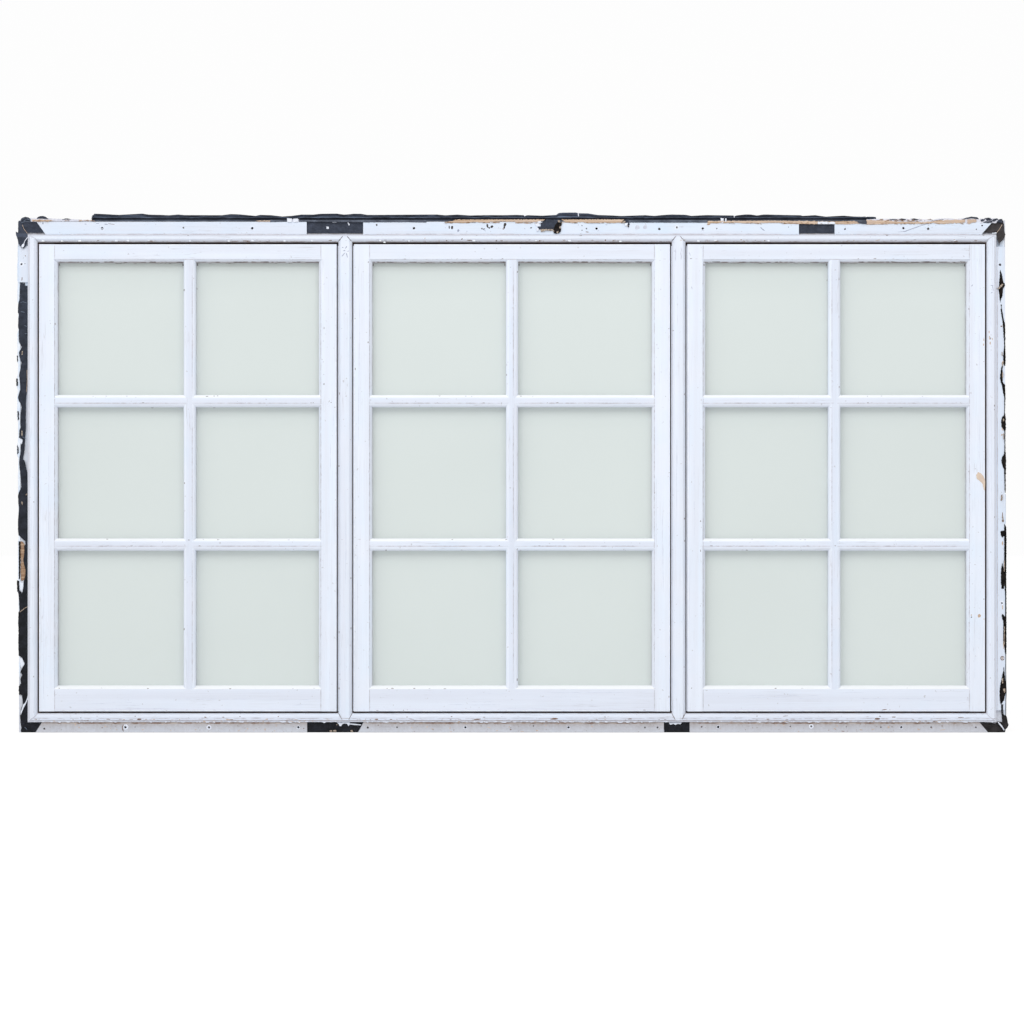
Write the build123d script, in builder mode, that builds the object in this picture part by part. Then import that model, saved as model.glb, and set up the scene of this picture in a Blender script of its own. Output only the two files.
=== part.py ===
"""Fixed timber window: one outer frame with two mullions and three sashes of six panes each.

Millimetres. X runs along the window, Z is up, and the weather side faces -Y. The origin is the
middle of the sill's bottom face.
"""

import os

from build123d import *

os.makedirs("parts", exist_ok=True)

# Overall size
window_width = 2288
window_height = 1188
timber_depth = 103  # behind the face of the set-back rim

# Outer frame, as it shows from the front
jamb_width = 43.5
head_height = 51
sill_height = 45
mullion_width = 32
side_rim = 22  # the set-back edge outside the moulding
head_rim = 34
sill_rim = 25
moulding_stand = 10  # how far the moulding stands in front of the rim
fillet_width = 4
fillet_drop = 2.5
frame_bevel_width = 7
frame_bevel_depth = 8
stop_width = 14  # how far the stop behind the sashes reaches into the opening
arris = 1.5  # rounding of the painted timber edges

# Sashes
middle_sash_width = 733
sash_gap = 4
head_gap = 5  # wider gap above the sashes
sash_thickness = 56
sash_recess = 4  # sash face behind the face of the moulding
stile_width = 42
top_rail_height = 42
bottom_rail_height = 59
sash_bevel_width = 7
sash_bevel_depth = 8
glass_recess = 20  # glass face behind the sash face
glass_rebate = 12  # how far the rebate reaches outside the sight line
seal_thickness = 3
seal_width = 6
seal_inset = 1

# Glazing bars
bar_width = 28.5
bar_shoulder = 9  # radius of the rounded shoulders, and how wide the bevels of the inner bars are
inner_bar_depth = 14
inner_bar_bevel_depth = 9
inner_bar_gap = 0.3
top_pane_height = 307
middle_pane_height = 304.5
side_bar_shift = 3.5  # through bars of the side sashes, towards the middle of the window

# Sealed double glazing and the beads that hold it
pane_thickness = 4
glazing_cavity = 12
pane_clearance = 3
spacer_width = 7
spacer_inset = 1.5
bead_chamfer = 6
bead_gap = 0.4

# Flashing membrane and the strips nailed over it
membrane_thickness = 1.5
membrane_inset = 1  # keeps the membrane off the floor and inside the timber's edge
strip_thickness = 4
strip_inset = 4  # strip edge to the outer edge of the frame
strip_gap = 0.5  # strip edge to the moulding
roll_start = -973
roll_end = 843
roll_height = 15
roll_tail_length = 62
roll_tail_thickness = 3

# Each strip on the head and the sill: its left end and its right end, top corner then bottom corner
head_strip_ends = [
    ((42 - window_width / 2, 63 - window_width / 2), (-476, -476)),
    ((-345, -345), (665, 665)),
    ((748, 748), (window_width / 2 - 30, window_width / 2 - 56)),
]
sill_strip_ends = [
    ((55 - window_width / 2, 40 - window_width / 2), (-475, -475)),
    ((-344, -356), (352, 352)),
    ((412, 412), (window_width / 2 - 61, window_width / 2 - 41)),
]
left_strip_drop = 60  # strip's upper end below the top of the frame
left_strip_length = 84
right_strip_drop = 62
right_strip_rise = 52  # strip's lower end above the bottom of the frame

# Fixing holes through the strips into the timber, along the head and along the sill
fixing_hole_radius = 3
fixing_hole_depth = 40
head_hole_drop = 19  # below the top of the frame
sill_hole_rise = 13  # above the bottom of the frame
head_hole_places = [-950, -602, -227, 196, 442, 907]
sill_hole_places = [-896, -495, -108, 131, 478, 902]

# Planes in depth, from the weather side inwards
rim_y = -timber_depth / 2
back_y = timber_depth / 2
face_y = rim_y - moulding_stand
fillet_y = face_y + fillet_drop
sash_y = face_y + sash_recess
glass_y = sash_y + glass_recess
glass_back_y = glass_y + 2 * pane_thickness + glazing_cavity
sash_back_y = sash_y + sash_thickness
stop_y = sash_back_y + seal_thickness
membrane_y = rim_y - membrane_thickness
strip_y = membrane_y - strip_thickness

# Places across the window
left_edge = -window_width / 2
side_sash_width = (
    window_width - 2 * jamb_width - 2 * mullion_width - 6 * sash_gap - middle_sash_width
) / 2
sash_bottom = sill_height + sash_gap
sash_top = window_height - head_height - head_gap
mullion_centre = middle_sash_width / 2 + sash_gap + mullion_width / 2
flat_half = mullion_width / 2 - frame_bevel_width


def face(plane, points):
    """A closed outline on a plane."""
    with BuildSketch(plane) as shape:
        with BuildLine():
            Polyline(*points, close=True)
        make_face()
    return shape.sketch


def rounded_face(plane, points, depth_axis, radius=arris):
    """A closed section whose foremost corners are rounded."""
    with BuildSketch(plane) as shape:
        with BuildLine():
            Polyline(*points, close=True)
        make_face()
        fillet(shape.vertices().group_by(depth_axis)[0], radius=radius)
    return shape.sketch


def rectangle(low, high):
    """The corners of an upright rectangle."""
    return [low, (high[0], low[1]), high, (low[0], high[1])]


def upright_plane(x, y, z):
    """A plane in the window's own plane, looking inwards."""
    return Plane((x, y, z), x_dir=(1, 0, 0), z_dir=(0, 1, 0))


def save(piece, name):
    """Label a finished piece and write it."""
    piece.part.label = name
    export_step(piece.part, f"parts/{name}.step")


def frame_section(rim, width):
    """Front half of an outer frame member, as (distance in from the edge, depth)."""
    return [
        (0, rim_y),
        (rim, rim_y),
        (rim, fillet_y),
        (rim + fillet_width, fillet_y),
        (rim + fillet_width, face_y),
        (width - frame_bevel_width, face_y),
        (width, face_y + frame_bevel_depth),
        (width, stop_y),
        (0, stop_y),
    ]


def corner_joint(rim, width):
    """The corner joint seen from the front, from the outer edge to the opening, as
    (distance in from the side, distance in from the top or bottom)."""
    return [
        (side_rim, 0),
        (side_rim, rim),
        (side_rim + fillet_width, rim + fillet_width),
        (jamb_width - frame_bevel_width, width - frame_bevel_width),
        (jamb_width, width),
    ]


def mullion_joint(centre, rim, width):
    """The pointed end of a mullion let into the head or sill, as
    (place along the window, distance in from the top or bottom)."""
    return [
        (centre - mullion_width / 2, width),
        (centre - flat_half, width - frame_bevel_width),
        (centre - flat_half, rim + fillet_width),
        (centre + flat_half, rim + fillet_width),
        (centre + flat_half, width - frame_bevel_width),
        (centre + mullion_width / 2, width),
    ]


def cross_member_outline(rim, width):
    """Head or sill seen from the front, before it is set at its height."""
    corner = corner_joint(rim, width)
    left = [(left_edge + side, up) for side, up in corner]
    right = [(-left_edge - side, up) for side, up in reversed(corner)]
    notches = mullion_joint(-mullion_centre, rim, width) + mullion_joint(mullion_centre, rim, width)
    return left + notches + right


# Left and right jambs: full height at the back, mitred into the head and sill mouldings
jamb_front = (
    [(0, 0)]
    + corner_joint(sill_rim, sill_height)
    + [(side, window_height - up) for side, up in reversed(corner_joint(head_rim, head_height))]
    + [(0, window_height)]
)
with BuildPart() as left_jamb:
    extrude(
        rounded_face(
            Plane.XY,
            [(left_edge + side, depth) for side, depth in frame_section(side_rim, jamb_width)],
            Axis.Y,
        ),
        amount=window_height,
    )
    extrude(
        face(Plane.XZ, [(left_edge + side, up) for side, up in jamb_front]),
        amount=timber_depth,
        both=True,
        mode=Mode.INTERSECT,
    )
    extrude(
        face(
            Plane.XY,
            rectangle((left_edge, stop_y), (left_edge + jamb_width + stop_width, back_y)),
        ),
        amount=window_height,
    )
save(left_jamb, "left_jamb")

with BuildPart() as right_jamb:
    mirror(left_jamb.part, about=Plane.YZ)
save(right_jamb, "right_jamb")


# Head and sill
def cross_member(rim, width, edge, direction, hole_places, hole_height):
    """Head or sill: edge is its outer height and direction points into the opening."""
    inner_length = window_width - 2 * (jamb_width + stop_width)
    section = [(depth, edge + direction * up) for up, depth in frame_section(rim, width)]
    outline = [(x, edge + direction * up) for x, up in cross_member_outline(rim, width)]
    stop_edge = edge + direction * (width + stop_width)
    with BuildPart() as member:
        extrude(
            rounded_face(Plane.YZ, section, Axis.X),
            amount=window_width / 2,
            both=True,
        )
        extrude(face(Plane.XZ, outline), amount=timber_depth, both=True, mode=Mode.INTERSECT)
        extrude(
            face(Plane.YZ, rectangle((stop_y, edge), (back_y, stop_edge))),
            amount=inner_length / 2,
            both=True,
        )
        with Locations(*[Plane((x, rim_y, hole_height), z_dir=(0, -1, 0)) for x in hole_places]):
            Hole(radius=fixing_hole_radius, depth=fixing_hole_depth)
    return member


head = cross_member(
    head_rim, head_height, window_height, -1, head_hole_places, window_height - head_hole_drop
)
save(head, "head")
sill = cross_member(sill_rim, sill_height, 0, 1, sill_hole_places, sill_hole_rise)
save(sill, "sill")

# Mullions: pointed where their bevels mitre with the head and the sill
with BuildPart() as left_mullion:
    extrude(
        rounded_face(
            Plane.XY,
            [
                (-mullion_centre - mullion_width / 2, face_y + frame_bevel_depth),
                (-mullion_centre - flat_half, face_y),
                (-mullion_centre + flat_half, face_y),
                (-mullion_centre + mullion_width / 2, face_y + frame_bevel_depth),
                (-mullion_centre + mullion_width / 2, stop_y),
                (-mullion_centre - mullion_width / 2, stop_y),
            ],
            Axis.Y,
        ),
        amount=window_height,
    )
    extrude(
        face(
            Plane.XZ,
            mullion_joint(-mullion_centre, sill_rim, sill_height)
            + [
                (x, window_height - up)
                for x, up in reversed(mullion_joint(-mullion_centre, head_rim, head_height))
            ],
        ),
        amount=timber_depth,
        both=True,
        mode=Mode.INTERSECT,
    )
    back_half = mullion_width / 2 + stop_width
    extrude(
        face(
            Plane.XY.offset(sill_height + stop_width),
            rectangle(
                (-mullion_centre - back_half, stop_y), (-mullion_centre + back_half, back_y)
            ),
        ),
        amount=window_height - head_height - sill_height - 2 * stop_width,
    )
save(left_mullion, "left_mullion")

with BuildPart() as right_mullion:
    mirror(left_mullion.part, about=Plane.YZ)
save(right_mullion, "right_mullion")


def sash_front(width):
    """Front of a stile or rail, back to the glass, as (distance in, depth)."""
    return [
        (0, sash_y),
        (width - sash_bevel_width, sash_y),
        (width, sash_y + sash_bevel_depth),
        (width, glass_y),
        (0, glass_y),
    ]


def stile(left, right_hand, sash_width):
    """A stile, full height, its bevel mitred to the rails."""
    flat = stile_width - sash_bevel_width
    edge = left + sash_width if right_hand else left
    sign = -1 if right_hand else 1
    outline = [
        (0, sash_bottom),
        (flat, sash_bottom),
        (flat, sash_bottom + bottom_rail_height - sash_bevel_width),
        (stile_width, sash_bottom + bottom_rail_height),
        (stile_width, sash_top - top_rail_height),
        (flat, sash_top - top_rail_height + sash_bevel_width),
        (flat, sash_top),
        (0, sash_top),
    ]
    with BuildPart() as piece:
        extrude(
            rounded_face(
                Plane.XY.offset(sash_bottom),
                [(edge + sign * side, depth) for side, depth in sash_front(stile_width)],
                Axis.Y,
            ),
            amount=sash_top - sash_bottom,
        )
        extrude(
            face(Plane.XZ, [(edge + sign * side, up) for side, up in outline]),
            amount=timber_depth,
            both=True,
            mode=Mode.INTERSECT,
        )
        extrude(
            face(
                Plane.XY.offset(sash_bottom),
                [
                    (edge, glass_y),
                    (edge + sign * (stile_width - glass_rebate), glass_y),
                    (edge + sign * (stile_width - glass_rebate), sash_back_y),
                    (edge, sash_back_y),
                ],
            ),
            amount=sash_top - sash_bottom,
        )
    return piece


def rail(left, sash_width, height, edge, direction):
    """A rail between the stiles; direction points from its outer edge to the glass."""
    centre = left + sash_width / 2
    flat = stile_width - sash_bevel_width
    front_half = sash_width / 2 - flat
    back_half = sash_width / 2 - stile_width + glass_rebate
    outline = [
        (-front_half, 0),
        (front_half, 0),
        (front_half, height - sash_bevel_width),
        (front_half - sash_bevel_width, height),
        (-front_half + sash_bevel_width, height),
        (-front_half, height - sash_bevel_width),
    ]
    with BuildPart() as piece:
        extrude(
            rounded_face(
                Plane.YZ.offset(centre),
                [(depth, edge + direction * up) for up, depth in sash_front(height)],
                Axis.X,
            ),
            amount=front_half,
            both=True,
        )
        extrude(
            face(Plane.XZ, [(centre + x, edge + direction * up) for x, up in outline]),
            amount=timber_depth,
            both=True,
            mode=Mode.INTERSECT,
        )
        extrude(
            face(
                Plane.YZ.offset(centre),
                rectangle(
                    (glass_y, edge), (sash_back_y, edge + direction * (height - glass_rebate))
                ),
            ),
            amount=back_half,
            both=True,
        )
    return piece


# Heights of the two rows of cross bars, at their middles
sight_bottom = sash_bottom + bottom_rail_height
sight_top = sash_top - top_rail_height
upper_bar_height = sight_top - top_pane_height - bar_width / 2
lower_bar_height = upper_bar_height - middle_pane_height - bar_width
bar_half = bar_width / 2
bar_flat_half = bar_half - bar_shoulder


def outer_bar_face(plane, centre, upright):
    """Section of a bar on the weather side, with rounded shoulders."""
    section = rectangle((centre - bar_half, sash_y), (centre + bar_half, glass_y))
    if upright:
        return rounded_face(plane, section, Axis.Y, bar_shoulder)
    return rounded_face(plane, [(y, z) for z, y in section], Axis.X, bar_shoulder)


def inner_bar_face(plane, centre, upright):
    """Section of a bar on the room side, with bevelled edges."""
    bar_face_y = glass_back_y + inner_bar_depth
    bevel_y = bar_face_y - inner_bar_bevel_depth
    section = [
        (centre - bar_half, glass_back_y),
        (centre - bar_half, bevel_y),
        (centre - bar_flat_half, bar_face_y),
        (centre + bar_flat_half, bar_face_y),
        (centre + bar_half, bevel_y),
        (centre + bar_half, glass_back_y),
    ]
    return face(plane, section if upright else [(y, z) for z, y in section])


def vertical_bar(centre, bar_face, bottom, top):
    """The through bar, notched on both sides where the cross bars are mitred into it."""
    right_side = [(bar_half, bottom)]
    for height in (lower_bar_height, upper_bar_height):
        right_side += [
            (bar_half, height - bar_half),
            (bar_flat_half, height - bar_flat_half),
            (bar_flat_half, height + bar_flat_half),
            (bar_half, height + bar_half),
        ]
    right_side.append((bar_half, top))
    outline = [(centre + x, z) for x, z in right_side]
    outline += [(centre - x, z) for x, z in reversed(right_side)]
    extrude(bar_face(Plane.XY.offset(bottom), centre, True), amount=top - bottom)
    extrude(face(Plane.XZ, outline), amount=timber_depth, both=True, mode=Mode.INTERSECT)


def cross_bar(centre, end, height, bar_face, gap):
    """A cross bar from the point at the through bar to its square end at the stile."""
    sign = 1 if end > centre else -1
    point = centre + sign * (bar_flat_half + gap)
    shoulder = centre + sign * (bar_half + gap)
    outline = [
        (end, height - bar_half),
        (end, height + bar_half),
        (shoulder, height + bar_half),
        (point, height + bar_flat_half),
        (point, height - bar_flat_half),
        (shoulder, height - bar_half),
    ]
    with BuildPart() as bar:
        extrude(
            bar_face(Plane.YZ.offset(min(centre, end)), height, False), amount=abs(end - centre)
        )
        extrude(face(Plane.XZ, outline), amount=timber_depth, both=True, mode=Mode.INTERSECT)
    return bar.part


def scribe_wedge(inner, outer):
    """The rail's or stile's bevel that a bar is cut to fit, as (distance, depth)."""
    return [
        (inner, sash_y + sash_bevel_depth),
        (outer, sash_y),
        (outer, glass_y),
        (inner, glass_y),
    ]


def sash(name, centre, width, bar_centre):
    """All the pieces of one sash, written under its name."""
    left = centre - width / 2
    sight_left = left + stile_width
    sight_right = left + width - stile_width
    save(stile(left, False, width), f"{name}_left_stile")
    save(stile(left, True, width), f"{name}_right_stile")
    save(rail(left, width, top_rail_height, sash_top, -1), f"{name}_top_rail")
    save(rail(left, width, bottom_rail_height, sash_bottom, 1), f"{name}_bottom_rail")

    with BuildPart() as through_bar:
        vertical_bar(
            bar_centre,
            outer_bar_face,
            sight_bottom - sash_bevel_width,
            sight_top + sash_bevel_width,
        )
        for inner, outer in (
            (sight_top, sight_top + sash_bevel_width),
            (sight_bottom, sight_bottom - sash_bevel_width),
        ):
            wedge = [(y, z) for z, y in scribe_wedge(inner, outer)]
            extrude(
                face(Plane.YZ.offset(bar_centre), wedge),
                amount=bar_width,
                both=True,
                mode=Mode.SUBTRACT,
            )
    save(through_bar, f"{name}_vertical_bar")

    with BuildPart() as cross_bars:
        for height in (upper_bar_height, lower_bar_height):
            for inner, outer in (
                (sight_left, sight_left - sash_bevel_width),
                (sight_right, sight_right + sash_bevel_width),
            ):
                add(cross_bar(bar_centre, outer, height, outer_bar_face, 0))
                extrude(
                    face(Plane.XY.offset(height), scribe_wedge(inner, outer)),
                    amount=bar_width,
                    both=True,
                    mode=Mode.SUBTRACT,
                )
    save(cross_bars, f"{name}_cross_bars")

    pane_width = width - 2 * (stile_width - glass_rebate + pane_clearance)
    pane_height = sight_top - sight_bottom + 2 * (glass_rebate - pane_clearance)
    pane_middle = (sight_top + sight_bottom) / 2
    inner_pane_y = glass_back_y - pane_thickness
    with BuildPart() as glass:
        for pane_y in (glass_y, inner_pane_y):
            with BuildSketch(upright_plane(centre, pane_y, pane_middle)):
                Rectangle(pane_width, pane_height)
            extrude(amount=pane_thickness)
    save(glass, f"{name}_glass")

    save(glazing_beads(left, width), f"{name}_glazing_beads")

    with BuildPart() as inner_bars:
        vertical_bar(bar_centre, inner_bar_face, sight_bottom, sight_top)
        for height in (upper_bar_height, lower_bar_height):
            for end in (sight_left, sight_right):
                add(cross_bar(bar_centre, end, height, inner_bar_face, inner_bar_gap))
    save(inner_bars, f"{name}_inner_bars")


def glazing_beads(left, width):
    """Four chamfered beads round the back of the glass, mitred at the corners."""
    centre = left + width / 2
    middle = (sight_top + sight_bottom) / 2
    half_width = width / 2 - stile_width + glass_rebate
    half_height = (sight_top - sight_bottom) / 2 + glass_rebate
    bead = [
        (0, glass_back_y),
        (glass_rebate, glass_back_y),
        (glass_rebate, sash_back_y - bead_chamfer),
        (glass_rebate - bead_chamfer, sash_back_y),
        (0, sash_back_y),
    ]
    with BuildPart() as beads:
        for sign in (-1, 1):
            edge = middle + sign * half_height
            end = half_width - bead_gap
            with BuildPart(mode=Mode.PRIVATE) as across:
                section = [(depth, edge - sign * side) for side, depth in bead]
                extrude(face(Plane.YZ.offset(centre), section), amount=end, both=True)
                outline = [
                    (centre - end, edge),
                    (centre + end, edge),
                    (centre + end - glass_rebate, edge - sign * glass_rebate),
                    (centre - end + glass_rebate, edge - sign * glass_rebate),
                ]
                extrude(
                    face(Plane.XZ, outline), amount=timber_depth, both=True, mode=Mode.INTERSECT
                )
            add(across.part)
            side_edge = centre + sign * half_width
            with BuildPart(mode=Mode.PRIVATE) as upright:
                section = [(side_edge - sign * side, depth) for side, depth in bead]
                extrude(face(Plane.XY.offset(middle), section), amount=half_height, both=True)
                outline = [
                    (side_edge, middle - half_height),
                    (side_edge, middle + half_height),
                    (side_edge - sign * glass_rebate, middle + half_height - glass_rebate),
                    (side_edge - sign * glass_rebate, middle - half_height + glass_rebate),
                ]
                extrude(
                    face(Plane.XZ, outline), amount=timber_depth, both=True, mode=Mode.INTERSECT
                )
            add(upright.part)
    return beads


def ring(centre, middle, width, height, thickness, near_y, depth):
    """A flat rectangular ring, its outer size given, standing in the window's plane."""
    with BuildSketch(upright_plane(centre, near_y, middle)) as shape:
        Rectangle(width, height)
        Rectangle(width - 2 * thickness, height - 2 * thickness, mode=Mode.SUBTRACT)
    extrude(shape.sketch, amount=depth)


side_sash_centre = mullion_centre + mullion_width / 2 + sash_gap + side_sash_width / 2
side_bar_centre = side_sash_centre - side_bar_shift
sashes = [
    ("left_sash", -side_sash_centre, side_sash_width, -side_bar_centre),
    ("middle_sash", 0, middle_sash_width, 0),
    ("right_sash", side_sash_centre, side_sash_width, side_bar_centre),
]
for one_sash in sashes:
    sash(*one_sash)

# Edge spacers of the sealed units, hidden behind the sight line
with BuildPart() as glass_spacers:
    for _, sash_centre, sash_width, _ in sashes:
        reach = 2 * (glass_rebate - pane_clearance - spacer_inset)
        ring(
            sash_centre,
            (sight_top + sight_bottom) / 2,
            sash_width - 2 * stile_width + reach,
            sight_top - sight_bottom + reach,
            spacer_width,
            glass_y + pane_thickness,
            glazing_cavity,
        )
save(glass_spacers, "glass_spacers")

# Seals between the back of each sash and the frame's stop
with BuildPart() as sash_seals:
    for _, sash_centre, sash_width, _ in sashes:
        ring(
            sash_centre,
            (sash_bottom + sash_top) / 2,
            sash_width - 2 * seal_inset,
            sash_top - sash_bottom - 2 * seal_inset,
            seal_width,
            sash_back_y,
            seal_thickness,
        )
save(sash_seals, "sash_seals")


# Flashing membrane on the rim's face, under the strips
def membrane(name, low, high, hole_places=(), hole_height=0):
    """A flat piece of membrane between two corners of the window's face."""
    with BuildPart() as sheet:
        extrude(face(Plane.XZ.offset(-rim_y), rectangle(low, high)), amount=membrane_thickness)
        if hole_places:
            places = [Plane((x, membrane_y, hole_height), z_dir=(0, -1, 0)) for x in hole_places]
            with Locations(*places):
                Hole(radius=fixing_hole_radius)
    save(sheet, name)


edge_x = -left_edge - membrane_inset
rim_x = -left_edge - side_rim
head_low = window_height - head_rim
membrane(
    "head_membrane",
    (-edge_x, head_low),
    (edge_x, window_height - membrane_inset),
    head_hole_places,
    window_height - head_hole_drop,
)
membrane(
    "sill_membrane", (-edge_x, membrane_inset), (edge_x, sill_rim), sill_hole_places, sill_hole_rise
)
membrane("left_membrane", (-edge_x, sill_rim), (-rim_x, head_low))
membrane("right_membrane", (rim_x, sill_rim), (edge_x, head_low))


# White strips nailed over the membrane
def cover_strips(name, ends, low, high, hole_places, hole_height):
    """Strips along the head or sill, with gaps and slanted ends."""
    with BuildPart() as strips:
        for (left_top, left_low), (right_top, right_low) in ends:
            outline = [(left_top, high), (right_top, high), (right_low, low), (left_low, low)]
            extrude(face(Plane.XZ.offset(-membrane_y), outline), amount=strip_thickness)
        with Locations(*[Plane((x, strip_y, hole_height), z_dir=(0, -1, 0)) for x in hole_places]):
            Hole(radius=fixing_hole_radius)
    save(strips, name)


cover_strips(
    "head_cover_strips",
    head_strip_ends,
    head_low + strip_gap,
    window_height - strip_inset,
    head_hole_places,
    window_height - head_hole_drop,
)
cover_strips(
    "sill_cover_strips",
    sill_strip_ends,
    membrane_inset,
    sill_rim - strip_gap,
    sill_hole_places,
    sill_hole_rise,
)
with BuildPart() as left_cover_strip:
    strip_top = window_height - left_strip_drop
    corners = rectangle((-edge_x, strip_top - left_strip_length), (-rim_x - strip_gap, strip_top))
    extrude(face(Plane.XZ.offset(-membrane_y), corners), amount=strip_thickness)
save(left_cover_strip, "left_cover_strip")
with BuildPart() as right_cover_strip:
    corners = rectangle(
        (rim_x + strip_gap, right_strip_rise), (edge_x, window_height - right_strip_drop)
    )
    extrude(face(Plane.XZ.offset(-membrane_y), corners), amount=strip_thickness)
save(right_cover_strip, "right_cover_strip")

# Torn membrane rolled up along the top edge, its tail lying back over the head
with BuildPart() as head_membrane_roll:
    with BuildSketch(Plane.YZ.offset(roll_start)):
        with Locations((rim_y + roll_height / 2, window_height + roll_height / 2)):
            Circle(roll_height / 2)
        with Locations((rim_y + roll_height / 2, window_height)):
            Rectangle(roll_tail_length, roll_tail_thickness, align=(Align.MIN, Align.MIN))
    extrude(amount=roll_end - roll_start)
save(head_membrane_roll, "head_membrane_roll")
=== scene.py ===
"""Looks of the fixed timber window: weathered white paint, obscured glass and torn flashing membrane.

Metres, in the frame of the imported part: X along the window, Z up, the weather side facing -Y.
Places on the weather side are given as (column, row) of the photograph, and turned into metres
by at().
"""

import math
import random

import bpy
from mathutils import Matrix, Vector, noise
from mathutils.bvhtree import BVHTree
from mathutils.geometry import delaunay_2d_cdt


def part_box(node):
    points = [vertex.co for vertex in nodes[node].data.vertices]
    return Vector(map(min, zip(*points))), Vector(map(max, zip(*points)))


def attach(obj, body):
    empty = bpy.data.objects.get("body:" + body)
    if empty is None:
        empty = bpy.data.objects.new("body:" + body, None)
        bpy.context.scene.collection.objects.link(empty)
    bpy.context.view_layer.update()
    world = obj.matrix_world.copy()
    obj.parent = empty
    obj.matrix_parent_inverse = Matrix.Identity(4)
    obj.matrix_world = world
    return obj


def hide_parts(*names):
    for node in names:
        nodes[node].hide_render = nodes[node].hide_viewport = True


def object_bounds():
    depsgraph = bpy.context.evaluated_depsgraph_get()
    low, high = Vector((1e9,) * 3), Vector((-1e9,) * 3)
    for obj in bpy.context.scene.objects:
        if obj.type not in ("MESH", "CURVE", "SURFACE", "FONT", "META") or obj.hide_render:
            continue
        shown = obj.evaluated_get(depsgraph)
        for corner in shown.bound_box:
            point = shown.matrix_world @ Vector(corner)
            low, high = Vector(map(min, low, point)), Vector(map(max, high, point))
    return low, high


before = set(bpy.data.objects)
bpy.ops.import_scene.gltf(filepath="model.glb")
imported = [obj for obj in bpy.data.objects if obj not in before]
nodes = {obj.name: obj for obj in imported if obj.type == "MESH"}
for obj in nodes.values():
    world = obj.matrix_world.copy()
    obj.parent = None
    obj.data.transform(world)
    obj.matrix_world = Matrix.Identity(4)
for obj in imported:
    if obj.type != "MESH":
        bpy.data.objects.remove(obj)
cad_low, cad_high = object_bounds()
# Fixed seeds, so that the marks and the tears come out the same each time
MARK_SEED = 11
TEAR_SEED = 2
chance = random.Random(MARK_SEED)
noise.seed_set(TEAR_SEED)

# Planes in depth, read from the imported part
FACE_Y = cad_low.y
SASH_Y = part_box("left_sash_top_rail")[0].y
RIM_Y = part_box("head_membrane")[1].y
STRIP_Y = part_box("head_cover_strips")[0].y
HEAD_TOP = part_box("head")[1].z
# The depth of sheets that lie in the face of the strips
IN_STRIP = STRIP_Y + 0.0004

# The photograph's scale: metres for each pixel on the front of the window
PIXEL = 0.0023158
MIDDLE_COLUMN = 512
BOTTOM_ROW = 732.8
IMAGE_SIDE = 1024
CAMERA_DISTANCE = 5.0
CAMERA_HEIGHT = (BOTTOM_ROW - IMAGE_SIDE / 2) * PIXEL

# Colours, linear
PAINT = (0.80, 0.845, 0.94)
PAINT_COOL = (0.71, 0.82, 0.955)
PAINT_DULL = (0.735, 0.77, 0.86)
PAINT_GRIME = (0.42, 0.40, 0.42)
# Grey that dulls whole parts, and painted shade on what faces straight forward
PAINT_DULL_AND_SHADE = (0.36, 0.40, 0.55)
# Painted highlight on paint that faces up
PAINT_HIGHLIGHT = (0.88, 0.90, 0.925)
# Dirt and painted shade at the foot of lips and bevels
EDGE_DIRT_AND_SHADE = (0.20, 0.15, 0.13)
# Dirt and painted shade on the foot strip, browner just under the lip
STRIP_DIRT_AND_SHADE = (0.385, 0.37, 0.385)
STRIP_TAN = (0.37, 0.31, 0.28)
STRIP_SPOT = (0.22, 0.16, 0.13)
RIM_PAINT = (0.60, 0.61, 0.70)
BARE_WOOD = (0.66, 0.52, 0.415)
WOOD_SHADE = (0.46, 0.31, 0.20)
BROWN_WOOD = (0.22, 0.11, 0.06)
OLD_WOOD = (0.11, 0.06, 0.04)
GAP_BROWN = (0.42, 0.24, 0.17)
GLASS_TINT = (0.648, 0.702, 0.688)
GLASS_CLOUD = (0.667, 0.721, 0.707)
GLASS_SHADE = (0.36, 0.43, 0.43)
MEMBRANE = (0.007, 0.008, 0.011)
MEMBRANE_DUST = (0.020, 0.022, 0.031)
# Paler dust on the membrane, and its painted highlight on what faces up
MEMBRANE_HIGHLIGHT_AND_DUST = (0.080, 0.098, 0.145)
GRIME = (0.20, 0.17, 0.17)
HOLE = (0.025, 0.018, 0.018)

UP, DOWN, LEFT, RIGHT = (0, 0, 1), (0, 0, -1), (-1, 0, 0), (1, 0, 0)
FORWARD = (0, -1, 0)

SASHES = ("left", "middle", "right")


def scale_at(depth):
    """Metres for each pixel at this depth."""
    return PIXEL * (CAMERA_DISTANCE + depth - FACE_Y) / CAMERA_DISTANCE


def at(column, row, depth):
    """The place at this depth that the photograph shows at a column and a row."""
    scale = scale_at(depth)
    x = (column - MIDDLE_COLUMN) * scale
    return Vector((x, depth, CAMERA_HEIGHT + (IMAGE_SIDE / 2 - row) * scale))


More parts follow.
